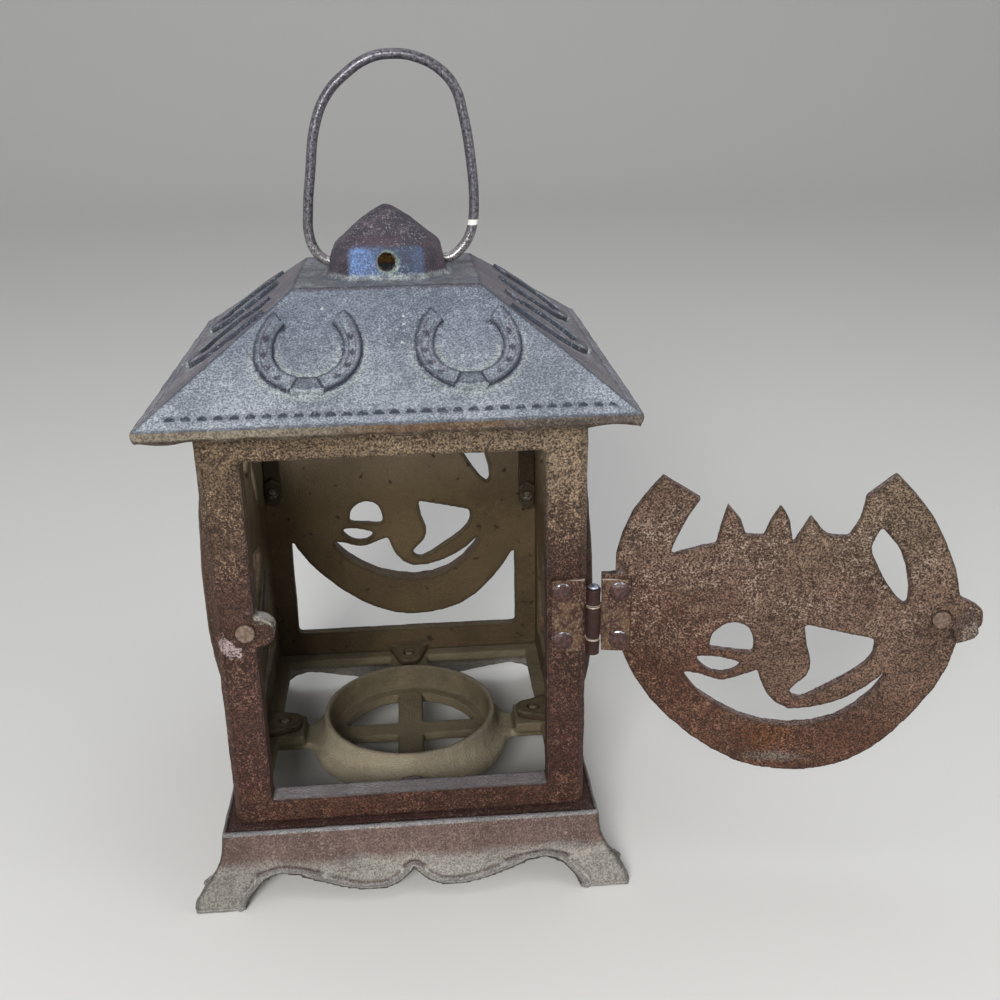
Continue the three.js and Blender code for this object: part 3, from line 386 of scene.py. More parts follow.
def base_paint():
    """Olive inside, maroon on the fascia, a sandy grey on the flare, with a painted highlight on the ledge's
    edge.
    """
    finish = Finish("base_paint")
    outside = finish.share(finish.reach(), *INSIDE_ENDS)
    height = finish.plus(finish.z, finish.times(finish.noise(60, 2), 0.006))
    skirt = finish.mix(finish.share(height, FASCIA_LOW - 0.001, FASCIA_LOW + 0.0035),
                       SKIRT_GREY, FASCIA_BROWN)
    skirt = finish.mix(finish.share(finish.up, 0.6, 0.9), skirt, LEDGE_DARK)
    corner = finish.join("MINIMUM", finish.size(finish.x), finish.size(finish.y))
    on_foot = finish.times(finish.share(corner, APRON_HALF - 0.004, APRON_HALF + 0.004),
                           finish.share(height, FASCIA_LOW, FASCIA_LOW - 0.004, 0, 0.8))
    skirt = finish.mix(on_foot, skirt, FOOT_PALE)
    ring = finish.far((0, 0, 0), (1, 1, 0))
    # The cup is grey only on faces that look outward; its inner faces keep the darker olive as painted shade
    cup = finish.times(finish.share(ring, *CUP_INNER), finish.share(ring, *CUP_OUTER),
                       finish.share(finish.outward(), -0.02, 0.005))
    finish.body = finish.mix(cup, BASE_OLIVE, CUP_GREY)
    finish.lay(skirt, outside)
    tone = finish.kept("tone")
    # Painted highlight on the skirt's bead and on the ledge's edge line, and a pale line low on the feet;
    finish.lay(SKIRT_PALE, finish.share(tone, 0.05, 0.6, 0, 0.75))
    # painted shade, dark, in the ledge's groove and at the very brim of the skirt's wavy edge
    finish.lay(LEDGE_HIGHLIGHT, finish.share(tone, 0.7, 0.95))
    finish.lay(BASE_DEEP, finish.share(tone, -0.05, -0.8, 0, 0.8))
    dust = finish.mix(outside, BASE_DUST, LEDGE_DARK)
    speckle = finish.plus(0.2, finish.times(outside, 0.55))
    crease_shade = finish.share(outside, 0, 1, 0.15, 0.5)
    return sand_cast(finish, BASE_DEEP, BASE_GLINT, dust, BASE_WORN, 0.4, speckle, crease_shade=crease_shade)


def sides(place):
    """For each point: how far out it is on the nearest side, how far along that side, and the way out."""
    by_x = np.abs(place[:, 0]) > np.abs(place[:, 1])
    out = np.abs(np.where(by_x, place[:, 0], place[:, 1]))
    along = np.where(by_x, place[:, 1], place[:, 0])
    outward = np.zeros_like(place)
    outward[:, 0] = np.where(by_x, np.sign(place[:, 0]), 0)
    outward[:, 1] = np.where(by_x, 0, np.sign(place[:, 1]))
    return out, along, outward


def carve_base(place, normal):
    """Raises the wavy edge and its bead, grooves the ledge, fills the flare and sets the feet down flat."""
    out, along, outward = sides(place)
    facing = (normal * outward).sum(1) > 0.25
    wave = np.array([(share * APRON_HALF, FLOOR_Z + rise * APRON_RISE) for share, rise in APRON_WAVE])
    nearest = np.full(len(place), 1.0)
    spot = np.stack([np.abs(along), place[:, 2]], 1)
    for start, end in zip(wave, wave[1:]):
        step = end - start
        reach = np.clip(((spot - start) @ step) / (step @ step), 0, 1)
        nearest = np.minimum(nearest, np.linalg.norm(spot - start - reach[:, None] * step, axis=1))
    on_skirt = facing & (out > LEDGE_HALF - 0.0005) & (place[:, 2] < FASCIA_LOW)
    bead = hump(nearest, BEAD_IN, BEAD_HALF) * on_skirt
    brim_shade = (1 - ease(nearest, 0.0005, 0.0012)) * on_skirt
    on_ledge = (normal[:, 2] > 0.3) & (np.abs(place[:, 2] - LEDGE_TOP) < 0.001) & (out > LEDGE_HALF - 0.004)
    groove = hump(out, LEDGE_HALF - LEDGE_GROOVE[0], LEDGE_GROOVE[1]) * on_ledge
    line = (ease(out, LEDGE_HALF - 0.0012, LEDGE_HALF - 0.0008)
            * ease(place[:, 2], LEDGE_TOP - 0.0016, LEDGE_TOP - 0.0008))
    foot_edge = hump(place[:, 2], FLOOR_Z + 0.0006, 0.0012) * facing * (out > FOOT_HALF - 0.003)
    place += outward * (bead * BEAD_PROUD)[:, None]
    place[:, 2] -= groove * LEDGE_GROOVE[2]
    height = np.clip(place[:, 2] - FLOOR_Z, 0, FLARE[-1][0])
    bend = np.linspace(1, 0, 24)[:, None]
    start, middle, end = np.array(COVE)
    cove = start * (1 - bend) ** 2 + middle * 2 * bend * (1 - bend) + end * bend ** 2
    grow = np.interp(height, *zip(*FLARE)) - np.interp(height, cove[:, 1], cove[:, 0])
    near_corner = ease(np.abs(place[:, 1]), *SIDE_REACH)
    tuck = SIDE_TUCK * (1 - near_corner) * ease(np.abs(place[:, 0]), FOOT_HALF - 0.008, FOOT_HALF - 0.002)
    grow_x = grow * near_corner * ease(np.abs(place[:, 0]), *FLARE_REACH)
    place[:, 0] += np.sign(place[:, 0]) * (grow_x - tuck)
    place[:, 1] += np.sign(place[:, 1]) * grow * ease(np.abs(place[:, 1]), *FLARE_REACH)
    place[:, 2] += np.interp(height, *zip(*APRON_LIFT)) * ease(np.abs(place[:, 1]), *FLARE_REACH)
    place[:, 2] = np.maximum(place[:, 2], FLOOR_Z)
    for axis in (0, 1):
        place[:, axis] = np.clip(place[:, axis], -FOOT_HALF, FOOT_HALF)
    # The tone: painted highlight on the bead and the ledge's edge line, a pale line low on the feet, and
    # painted shade at the brim and in the groove
    return place, 0.65 * bead * (1 - brim_shade) + 0.45 * foot_edge + line - brim_shade - groove


def finished(piece, node, body, material):
    """Dresses a piece, sets it in a node's place and lets it move with that node's body."""
    piece.data.materials.clear()
    piece.data.materials.append(material)
    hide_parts(node)
    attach(piece, body)


finished(cast("base_casting", solid_of("base"), BASE_SAND, BASE_FACES, carve_base, 8),
         "base", "lantern", base_paint())

# Front frame
# One deeper casting with the door's opening. It stands on the ledge in front of the side walls, and carries
# the boss of the magnet. Its paint goes from an olive bronze under the roof to a reddish brown at its foot,
# where the red is partly a painted reflection.
FRAME_SAND = 0.00055 * COARSER
FRAME_FACES = 120000
FRAME_LOW, FRAME_HIGH = (corner.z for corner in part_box("front_frame"))
FRAME_FRONT = (-0.0605, -0.0612)  # its front face lies past these
CHIP_AT = (-0.0578, 0.0751)  # across and up
CHIP_SIZE = (0.0047, 0.0026)  # half of its length and of its width
CATCH_TOP = (-0.0465, -0.0585, 0.0858)
FRAME_BRONZE = "#7d6a54"
FRAME_TAN = "#9a8770"
FRAME_BROWN = "#52382f"
FRAME_RED_REFLECTION = "#48231f"
RAIL_BROWN = "#5a3c2e"
FRAME_DEEP = "#1f130f"
FRAME_GLINT = "#b39a80"
FRAME_GLINT_LOW = "#8a6a5c"
FRAME_DUST_AND_SHEEN = "#b4b4ba"
FRAME_WORN = "#948a86"
CHIP_PALE = "#c8b2b4"
CATCH_PALE_LIT = "#f0ecdf"


def frame_paint():
    """Bronze under the roof and reddish brown below, partly a painted red reflection, with a boss top painted
    pale, partly rubbed and partly as painted light, and a chip of pale paint.
    """
    finish = Finish("frame_paint")
    height = finish.plus(finish.z, finish.times(finish.noise(28, 3), 0.03))
    span = FRAME_HIGH - FRAME_LOW
    # Low down the paint turns a reddish brown, partly the paint and partly a painted red reflection
    lower = finish.mix(finish.share(height, FRAME_LOW, FRAME_LOW + 0.6 * span), FRAME_RED_REFLECTION, FRAME_BROWN)
    upper = finish.mix(finish.share(finish.x, -0.05, 0.05), FRAME_BRONZE, FRAME_TAN)
    finish.body = finish.mix(finish.share(height, FRAME_LOW + 0.7 * span, FRAME_HIGH + 0.01), lower, upper)
    finish.lay(RAIL_BROWN, finish.share(finish.z, FRAME_LOW + 0.016, FRAME_LOW + 0.012, 0, 0.8))
    # The boss's top is painted near white, partly rubbed pale and partly as painted light on what faces up
    finish.lay(CATCH_PALE_LIT, finish.times(finish.share(finish.far(CATCH_TOP), 0.0072, 0.0055),
                                        finish.share(finish.up, 0, 0.3)))
    # The chip lies slanting across the post, from its outer edge down towards the opening
    across = finish.less(finish.x, CHIP_AT[0])
    above = finish.less(finish.z, CHIP_AT[1])
    down_slant = finish.times(finish.less(across, above), math.sqrt(0.5) / CHIP_SIZE[0])
    over_slant = finish.times(finish.plus(across, above), math.sqrt(0.5) / CHIP_SIZE[1])
    spread = finish.plus(finish.most(finish.size(down_slant), finish.size(over_slant)),
                         finish.mottle(420, 3, 0.3, 0.7, -0.3, 0.3))
    finish.lay(CHIP_PALE, finish.times(finish.share(spread, 1.05, 0.9), finish.share(finish.y, *FRAME_FRONT)))
    glint_colour = finish.mix(finish.share(height, FRAME_LOW + 0.5 * span, FRAME_HIGH), FRAME_GLINT_LOW, FRAME_GLINT)
    speckle = finish.share(finish.up, 0.5, 0.9, 1.25, 0.5)
    # The pale coat on what faces up is dust and a painted sheen, as on the sill's top
    return sand_cast(finish, FRAME_DEEP, glint_colour, FRAME_DUST_AND_SHEEN, FRAME_WORN, 0.8, speckle)


finished(cast("front_frame_casting", solid_of("front_frame"), FRAME_SAND, FRAME_FACES),
         "front_frame", "lantern", frame_paint())

# Back and side walls
# Three castings with the horseshoe picture, each a frame and its openwork in one. They stand on the ledge
# and are screwed to the base at their lugs. Inside they are a matt olive brown with small pock marks.
WALL_SAND = 0.0007 * COARSER
WALL_FACES = 120000
WALL_MIDDLE = (0.0596, 0.0604)  # from the lantern's middle: outside these a wall has its outer paint
WALL_OLIVE = "#64543b"
WALL_UPPER_LIT = "#b3a188"
WALL_OUTSIDE = "#5a4038"
WALL_DEEP = "#2a2118"
WALL_GLINT = "#85775f"
WALL_DUST = "#857e6a"
WALL_WORN = "#7d725f"


def wall_paint():
    """Olive inside, with painted light above and darker below, with pock marks, and brown outside."""
    finish = Finish("wall_paint")
    outside = finish.share(finish.reach(), *WALL_MIDDLE)
    height = finish.less(finish.z, LEDGE_TOP)
    # Painted light: the upper part inside is painted paler, as if lit
    finish.body = finish.mix(finish.share(height, 0.07, 0.12), WALL_OLIVE, WALL_UPPER_LIT)
    finish.lay(WALL_DEEP, finish.mottle(260, 1, 0.34, 0.26, 0, 0.8))
    finish.lay(WALL_DEEP, finish.share(height, 0.06, 0, 0, 0.4))
    finish.lay(WALL_OUTSIDE, outside)
    speckle = finish.plus(0.3, finish.times(outside, 0.7))
    return sand_cast(finish, WALL_DEEP, WALL_GLINT, WALL_DUST, WALL_WORN, 0.4, speckle)


wall_finish = wall_paint()
for side in ("back", "left", "right"):
    wall = cast(f"{side}_wall_casting", solid_of(f"{side}_panel"), WALL_SAND, WALL_FACES)
    finished(wall, f"{side}_panel", "lantern", wall_finish)

# Roof
# One casting: four slopes with two horseshoes on each, a row of small arches along the eave, a hollow cap
# with its vent holes, and two legs inside. Its paint is a satin blue-grey, lightened by a painted sheen, with
# painted shade round and in the relief.
ROOF_SAND = 0.0006 * COARSER
ROOF_FACES = 195000
EAVE_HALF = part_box("roof")[1].x
EAVE_TOP = 0.1561
EAVE_THICK = 0.00455
EAVE_BEAD = 0.0012  # the rounded eave stands out this far
EAVE_WOBBLE = 0.0007  # and its lower edge hangs unevenly by this much
EAVE_RIPPLES = (310, 131)  # radians in a metre along the eave
PLATEAU_Z = 0.188
PLATEAU_HALF = 0.0305
SLOPE = math.atan2(PLATEAU_Z - EAVE_TOP, EAVE_HALF - PLATEAU_HALF)
ARCH_PITCH = 0.00477
ARCH_WIDTH = 0.0039
ARCH_LOW, ARCH_HIGH = 0.0024, 0.0054  # up the slope from the eave's edge
ARCH_DEPTH = 0.0008
ARCH_START = 0.0012  # middle of one arch, along the eave
SHOE_OFFSET = 0.025
SHOE_UP_SLOPE = 0.028
SHOE_RELIEF = 0.0013
SHOE_INNER, SHOE_OUTER = 0.011, 0.0165
SHOE_HEEL = 137  # degrees round from the toe to the end of each branch
SHOE_STRETCH = 1.37  # the branches are this much longer than a circle's
SHOE_SUNK = 0.0006
SHOE_STEP = 0.00021 * COARSER
SHOE_FACES = 20000
CHANNEL = (0.01375, 0.0014)  # middle radius and half-width of the channel between a horseshoe's rims
CHANNEL_DEPTH = 0.00055
CHANNEL_ENDS = (24, 131)  # degrees from the toe, and so are the nails
NAILS = (42, 64, 86, 108)
NAIL_SIZE = (0.0019, 0.0013)  # half of its length and of its width
CLIP_HALVES = (0.0029, 0.005)  # half-width of the toe clip at its top and at its foot
CLIP_PROUD = 0.0002
VENT_AT = (0.0004, 0, PLATEAU_Z + 0.0054)
CAP_FULL = (  # distance from the middle, and how much fuller the top of the cap is there, so its tip is round
    (0, 0), (0.003, 0.0007), (0.006, 0.0011), (0.01, 0.0012), (0.0145, 0.0007), (0.018, 0),
)
SPECKS = (  # white specks on the front slope, along the eave, up the slope and radius
    (-0.0209, 0.0461, 0.0006), (0.005, 0.042, 0.0005), (0.0049, 0.0386, 0.0005), (0.0042, 0.031, 0.0005),
    (-0.0184, 0.0039, 0.0007),
)
ROOF_BLUE_SHEEN = "#8d97a6"
ROOF_PALE_SHEEN = "#b9c1cb"
ROOF_HALO = "#bfc9c8"
ROOF_DEEP = "#3b3f4c"
ROOF_SIDE = "#7b5f62"
ROOF_GLINT = "#c3c9d2"
PLATEAU_BROWN = "#686068"
SHOE_DARK = "#30343f"
CAP_SHEEN_BLUE = "#7a9ad2"
CAP_SHEEN_STEEL = "#4b5870"
CAP_DARK = "#54424c"
CAP_DEEP = "#1f171c"
CAP_GLINT = "#a08f93"
CAP_OLIVE = "#4a4238"
CAP_INSIDE_LIT = "#f0b455"
EAVE_TAN = "#a79c8b"
EAVE_RUST = "#83654c"
EAVE_SLATE = "#6f6762"
EAVE_SHADE = "#33251c"
LEG_OLIVE = "#3f3424"
VENT_RIM = "#9fb09f"
SPECK_WHITE = "#f0f0f0"


def on_slope(place):
    """For each point: along the eave, up the slope and height over the slope, with the slope's directions."""
    out, along, outward = sides(place)
    run = EAVE_HALF - out
    rise = place[:, 2] - EAVE_TOP
    up = run * math.cos(SLOPE) + rise * math.sin(SLOPE)
    height = rise * math.cos(SLOPE) - run * math.sin(SLOPE)
    outward *= math.sin(SLOPE)
    outward[:, 2] = math.cos(SLOPE)
    return along, up, height, outward


def carve_roof(place, normal):
    """Presses the arches, levels the slopes under the horseshoes, and rounds the eave and the cap's tip."""
    along, up, height, outward = on_slope(place)
    near = (height > -0.0006) & (place[:, 2] < PLATEAU_Z - 0.0003)
    on_top = near & ((normal * outward).sum(1) > 0.3)

    beside = np.abs(((along - ARCH_START) / ARCH_PITCH + 0.5) % 1 - 0.5) * ARCH_PITCH
    crown = ARCH_LOW + (ARCH_HIGH - ARCH_LOW) * np.sqrt(np.clip(1 - (2 * beside / ARCH_WIDTH) ** 2, 0, 1))
    inside = ease(crown - up, 0, 0.0008) * ease(up, ARCH_LOW - 0.0006, ARCH_HIGH - 0.0008)
    arch = inside * on_top * (np.abs(along) < EAVE_HALF - 0.0035 - up)

    across = np.abs(np.abs(along) - SHOE_OFFSET)
    level = near * (np.hypot(across, up - SHOE_UP_SLOPE) < SHOE_OUTER + 0.0013)
    rise = (up - SHOE_UP_SLOPE) / np.where(up > SHOE_UP_SLOPE, SHOE_STRETCH, 1)
    radius = np.hypot(across, rise)
    turn = np.degrees(np.arctan2(across, -rise))
    beyond = np.maximum(SHOE_INNER - radius, radius - SHOE_OUTER)
    halo = (1 - ease(beyond, 0.0012, 0.0038)) * (turn < SHOE_HEEL + 4) * ease(-turn, -150, -60) * near
    outline = 0.8 * (1 - ease(beyond, 0.0005, 0.0011)) * (turn < SHOE_HEEL + 2) * near

    place -= outward * (ARCH_DEPTH * arch + level * np.maximum(height, 0))[:, None]

    out, _, side = sides(place)
    low = EAVE_TOP - EAVE_THICK
    on_edge = ease(out, EAVE_HALF - 0.003, EAVE_HALF - 0.0004)
    from_middle = (place[:, 2] - low - EAVE_THICK / 2) / (EAVE_THICK / 2)
    bulge = np.sqrt(np.clip(1 - from_middle ** 2, 0, 1)) * on_edge
    wobble = (np.sin(along * EAVE_RIPPLES[0] + place[:, 0] * 40)
              + 0.7 * np.sin(along * EAVE_RIPPLES[1] + 2 * np.sign(place[:, 0])))
    place += side * (bulge * EAVE_BEAD * (1 + 0.1 * wobble))[:, None]
    place[:, :2] = np.clip(place[:, :2], -FOOT_HALF, FOOT_HALF)
    fuller = np.interp(np.hypot(place[:, 0], place[:, 1]), *zip(*CAP_FULL))
    place[:, 2] += fuller * (place[:, 2] > PLATEAU_Z + 0.006) * ease(normal[:, 2], 0.15, 0.4)
    place[:, 2] -= on_edge * EAVE_WOBBLE * 0.5 * (wobble + 1) * ease(-place[:, 2], -low - EAVE_THICK, -low)
    # The tone: painted shade in the arches and round the horseshoes' outline, and a pale ring round them
    return place, -0.9 * arch + 0.8 * halo * (1 - outline) - outline


def roof_paint():
    """Speckled blue-grey slopes and cap with a painted sheen, a brown plateau, painted shade round the
    relief, and bare metal on the eave with painted shade under it.
    """
    finish = Finish("roof_paint")
    wide, deep, sideways = (finish.size(axis) for axis in (finish.x, finish.y, finish.normal[0]))
    reach = finish.most(wide, deep)
    over_eave = finish.less(finish.z, EAVE_TOP)
    over_plateau = finish.less(finish.z, PLATEAU_Z)
    # Painted sheen: the blue-grey slopes are painted light, palest low down near the eave
    low = finish.times(finish.share(over_eave, 0.024, 0.002), finish.mottle(35, 2, 0.3, 0.7, 0.5, 1))
    finish.body = finish.mix(low, ROOF_BLUE_SHEEN, ROOF_PALE_SHEEN)
    finish.lay(ROOF_SIDE, finish.share(sideways, 0.35, 0.6, 0, 0.6))
    finish.lay(PLATEAU_BROWN, finish.times(finish.share(over_plateau, -0.0014, -0.0004),
                                           finish.mottle(120, 3, 0.35, 0.65, 0.6, 1)))
    hip = finish.times(finish.share(finish.size(finish.less(wide, deep)), 0.001, 0.0003),
                       finish.share(reach, 0.03, 0.031))
    brink = finish.share(finish.size(finish.less(reach, PLATEAU_HALF)), 0.0007, 0.0002)
    finish.lay(SHOE_DARK, finish.times(finish.most(hip, brink),
                                       finish.share(over_plateau, 0.001, 0, 0, 0.65)))
    tone = finish.kept("tone")
    # Pale rings round the horseshoes and painted highlight in their channels; painted shade, dark, in the
    # arches, round and on the horseshoes
    finish.lay(ROOF_HALO, finish.share(tone, 0.03, 0.8, 0, 0.8))
    finish.lay(SHOE_DARK, finish.share(tone, -0.03, -0.75, 0, 0.92))

    # The cap's front and back carry a painted blue sheen, brightest to the left; its cut corners and top are
    # a dark maroon and its sides olive, both with pale painted glints
    cap = finish.share(over_plateau, 0.0006, 0.0018)
    face_on = finish.times(finish.share(finish.size(finish.normal[1]), 0.45, 0.6),
                           finish.share(wide, 0.0136, 0.0112), finish.share(over_plateau, 0.0112, 0.0092))
    blue_sheen = finish.mix(finish.share(finish.x, -0.0115, 0.003), CAP_SHEEN_BLUE, CAP_SHEEN_STEEL)
    blue_sheen = finish.mix(finish.share(finish.x, 0.007, 0.012, 0, 0.25), blue_sheen, CAP_SHEEN_BLUE)
    blue_sheen = finish.mix(finish.mottle(420, 3, 0.45, 0.7, 0, 0.6), blue_sheen, CAP_DARK)
    maroon = finish.mix(finish.share(sideways, 0.8, 0.92), CAP_DARK, CAP_OLIVE)
    maroon = finish.mix(finish.share(finish.noise(520, 4, 0.7), 0.54, 0.72, 0, 0.6), maroon, CAP_GLINT)
    maroon = finish.mix(finish.mottle(150, 2, 0.4, 0.6, 0, 0.5), maroon, CAP_DEEP)
    finish.lay(finish.mix(face_on, maroon, blue_sheen), cap)
    hole = finish.share(finish.far(VENT_AT, (1, 0, 1)), 0.0044, 0.0035)
    finish.lay(VENT_RIM, finish.times(hole, cap, face_on, 0.7))
    finish.lay(ROOF_HALO, finish.times(finish.share(over_plateau, 0.0024, 0.001),
                                       finish.share(over_plateau, -0.0002, 0.0003),
                                       finish.mottle(300, 2, 0.4, 0.6, 0.2, 0.8)))
    # Painted light: the cap's inside, seen through its vents, is painted a bright gold as if lit
    finish.lay(CAP_INSIDE_LIT, finish.times(finish.share(finish.outward(), -0.0005, -0.002),
                                        finish.share(over_plateau, -0.001, 0),
                                        finish.share(reach, 0.0212, 0.0204)))

    # Bare metal shows through on the rounded eave, tan to the left and rusty towards the middle, with painted
    # shade under it and in a thin line along its top
    eave = finish.times(finish.share(over_eave, -0.0005, -0.0011),
                        finish.share(reach, EAVE_HALF - 0.003, EAVE_HALF - 0.002))
    drift = finish.plus(finish.x, finish.times(finish.noise(45, 3), 0.08))
    metal = finish.mix(finish.share(drift, 0.015, 0.045), EAVE_TAN, EAVE_RUST)
    metal = finish.mix(finish.share(drift, 0.06, 0.08), metal, EAVE_SLATE)
    metal = finish.mix(finish.share(over_eave, 0.0018 - EAVE_THICK, 0.0008 - EAVE_THICK), metal, EAVE_SHADE)
    finish.lay(metal, eave)
    brow = finish.share(finish.size(finish.plus(over_eave, 0.0006)), 0.0005, 0.0001)
    finish.lay(EAVE_SHADE, finish.times(brow,
                                       finish.share(reach, EAVE_HALF - 0.002, EAVE_HALF - 0.0005, 0, 0.6)))
    height = finish.less(finish.times(over_eave, math.cos(SLOPE)),
                         finish.times(finish.less(EAVE_HALF, reach), math.sin(SLOPE)))
    under = finish.times(finish.share(finish.up, -0.2, -0.5), finish.share(height, -0.0016, -0.0026))
    legs = finish.times(finish.share(over_eave, -0.0038, -0.0046), finish.share(reach, 0.0725, 0.0715))
    finish.lay(LEG_OLIVE, finish.most(under, legs))
    bare = finish.most(under, legs, eave)
    dark = finish.mix(bare, ROOF_DEEP, WALL_DEEP)
    bright = finish.mix(bare, ROOF_GLINT, EAVE_TAN)
    for along, up, radius in SPECKS:
        spot = (along, up * math.cos(SLOPE) - EAVE_HALF, EAVE_TOP + up * math.sin(SLOPE))
        finish.lay(SPECK_WHITE, finish.share(finish.far(spot), radius * 1.3, radius * 0.7))
    smooth = finish.most(finish.times(cap, 0.1), legs)
    speckle = finish.less(0.95, finish.times(smooth, 0.7))
    return sand_cast(finish, dark, bright, ROOF_PALE_SHEEN, bright, 0, speckle, 0.15, 0.5, 0.35)


def shoe_blank():
    """A plain horseshoe that lies flat with its toe towards -Y, and its toe clip."""
    shape = bmesh.new()
    start = math.radians(-SHOE_HEEL)
    section = [(SHOE_INNER, -SHOE_SUNK), (SHOE_OUTER, -SHOE_SUNK), (SHOE_OUTER, SHOE_RELIEF),
               (SHOE_INNER, SHOE_RELIEF)]
    corners = [shape.verts.new((math.sin(start) * radius, -math.cos(start) * radius, height))
               for radius, height in section]
    face = shape.faces.new(corners)
    bmesh.ops.spin(shape, geom=[*corners, *face.edges, face], cent=(0, 0, 0), axis=(0, 0, 1),
                   angle=-2 * start, steps=72)
    bmesh.ops.holes_fill(shape, edges=shape.edges, sides=4)
    middle = (SHOE_INNER + SHOE_OUTER) / 2
    clip = bmesh.ops.create_cube(shape, size=1)["verts"]
    size = Vector((2 * CLIP_HALVES[1], SHOE_OUTER - SHOE_INNER + 0.0004,
                   SHOE_RELIEF + SHOE_SUNK + CLIP_PROUD))
    bmesh.ops.scale(shape, vec=size, verts=clip)
    bmesh.ops.translate(shape, vec=(0, -middle - 0.0003, size.z / 2 - SHOE_SUNK), verts=clip)
    top = [corner for corner in clip if corner.co.y > -middle]
    bmesh.ops.scale(shape, vec=(CLIP_HALVES[0] / CLIP_HALVES[1], 1, 1), verts=top)
    bmesh.ops.recalc_face_normals(shape, faces=shape.faces)
    return shape


def carve_shoe(place, _):
    """Presses the channel and its nail holes, paints highlight and shade on the horseshoe and draws the
    branches out.
    """
    across = np.abs(place[:, 0])
    radius = np.hypot(across, place[:, 1])
    turn = np.degrees(np.arctan2(across, -place[:, 1]))
    on_face = ease(place[:, 2], SHOE_RELIEF * 0.5, SHOE_RELIEF * 0.85)
    share = np.clip((radius - SHOE_INNER) / (SHOE_OUTER - SHOE_INNER), 0, 1)
    clip_half = CLIP_HALVES[0] + share * (CLIP_HALVES[1] - CLIP_HALVES[0])
    on_clip = (turn < 50) * ease(-across, -clip_half - 0.0001, 0.0001 - clip_half)
    clip_line = (1 - ease(np.abs(across - clip_half), 0.0001, 0.0006)) * (turn < 45)
    off = np.abs(radius - CHANNEL[0])
    branch = (ease(turn, CHANNEL_ENDS[0] - 4, CHANNEL_ENDS[0])
              * ease(-turn, -CHANNEL_ENDS[1], 5 - CHANNEL_ENDS[1]))
    channel = (1 - ease(off, CHANNEL[1] * 0.5, CHANNEL[1])) * branch
    nail = np.zeros(len(place))
    for middle in NAILS:
        length = np.abs(np.radians(turn - middle)) * CHANNEL[0] / NAIL_SIZE[0]
        nail = np.maximum(nail, 1 - ease(length + off / NAIL_SIZE[1], 0.6, 1.05))
    place[:, 2] -= on_face * (CHANNEL_DEPTH * channel * (1 + 0.5 * nail) + 0.0003 * clip_line)
    place[:, 1] *= np.where(place[:, 1] > 0, SHOE_STRETCH, 1)
    foot = on_clip * ease(radius, SHOE_OUTER - 0.0006, SHOE_OUTER)
    border = 1 - ease(np.minimum(radius - SHOE_INNER, SHOE_OUTER - radius), 0.0003, 0.0011)
    # Painted highlight in the channel; painted shade on the rims' edges, in the nail holes, the clip's
    # outline and on the sides
    relief_shading = (0.25 * channel * (1 - nail) - 0.15 * (1 - channel) * (1 - on_clip) - 0.6 * nail * branch
            - 0.45 * border - 0.8 * clip_line - 0.42 * on_clip)
    return place, np.where(foot > 0.3, 0.6, on_face * relief_shading - 0.85 * (1 - on_face))


roof_finish = roof_paint()
finished(cast("roof_casting", solid_of("roof"), ROOF_SAND, ROOF_FACES, carve_roof),
         "roof", "lantern", roof_finish)

horseshoe = cast("horseshoe", shoe_blank(), SHOE_STEP, SHOE_FACES, carve_shoe, 3)
on_front = Matrix.Translation((0, SHOE_UP_SLOPE * math.cos(SLOPE) - EAVE_HALF,
                               EAVE_TOP + SHOE_UP_SLOPE * math.sin(SLOPE)))
for quarter in range(4):
    for side, offset in (("left", -SHOE_OFFSET), ("right", SHOE_OFFSET)):
        copied = bpy.data.objects.new(f"horseshoe_{quarter}_{side}", horseshoe.data.copy())
        copied.data.transform(
            Matrix.Rotation(quarter * math.pi / 2, 4, "Z") @ Matrix.Translation((offset, 0, 0))
            @ on_front @ Matrix.Rotation(SLOPE, 4, "X"))
        bpy.context.scene.collection.objects.link(copied)
        finished(copied, "roof", "lantern", roof_finish)
bpy.data.objects.remove(horseshoe)

# Screws
# Four slotted pan-head screws hold the walls to the base from below, and two small ones hold the roof's legs
# to the back wall. They are turned steel, painted over with the castings they sit in.
SLOT_WIDTH = 0.26  # share of the head's radius
SLOT_DEPTH = 0.45  # share of its thickness
SHANK = 0.6  # share of the head's radius, and so is the head's thickness
SCREWS = {  # and the axis that each lies along
    "base_screw_back": "Z", "base_screw_left": "Z", "base_screw_front": "Z", "base_screw_right": "Z",
    "leg_screw_left": "Y", "leg_screw_right": "Y",
}
SPIN_STEPS = 32
SCREW_DARK = "#37302a"
SCREW_WORN = "#6e675c"


def turned(profile):
    """A shape turned about the Z axis from [radius, height] pairs that start and end on the axis."""
    shape = bmesh.new()
    corners = [shape.verts.new((radius, 0, height)) for radius, height in profile]
    lines = [shape.edges.new(pair) for pair in zip(corners, corners[1:])]
    bmesh.ops.spin(shape, geom=corners + lines, cent=(0, 0, 0), axis=(0, 0, 1), angle=2 * math.pi,
                   steps=SPIN_STEPS, use_merge=True)
    bmesh.ops.remove_doubles(shape, verts=shape.verts, dist=1e-7)
    bmesh.ops.recalc_face_normals(shape, faces=shape.faces)
    return shape


def block(low, high):
    """A box from one corner to the other."""
    shape = bmesh.new()
    bmesh.ops.create_cube(shape, size=1)
    size = Vector(high) - Vector(low)
    bmesh.ops.scale(shape, vec=size, verts=shape.verts)
    bmesh.ops.translate(shape, vec=(Vector(high) + Vector(low)) / 2, verts=shape.verts)
    return shape


def cut_out(piece, shape):
    """Cuts a shape out of a piece."""
    cutter = piece_of("cutter", shape)
    cut = piece.modifiers.new("slot", "BOOLEAN")
    cut.operation = "DIFFERENCE"
    cut.object = cutter
    settle(piece)
    bpy.data.objects.remove(cutter)


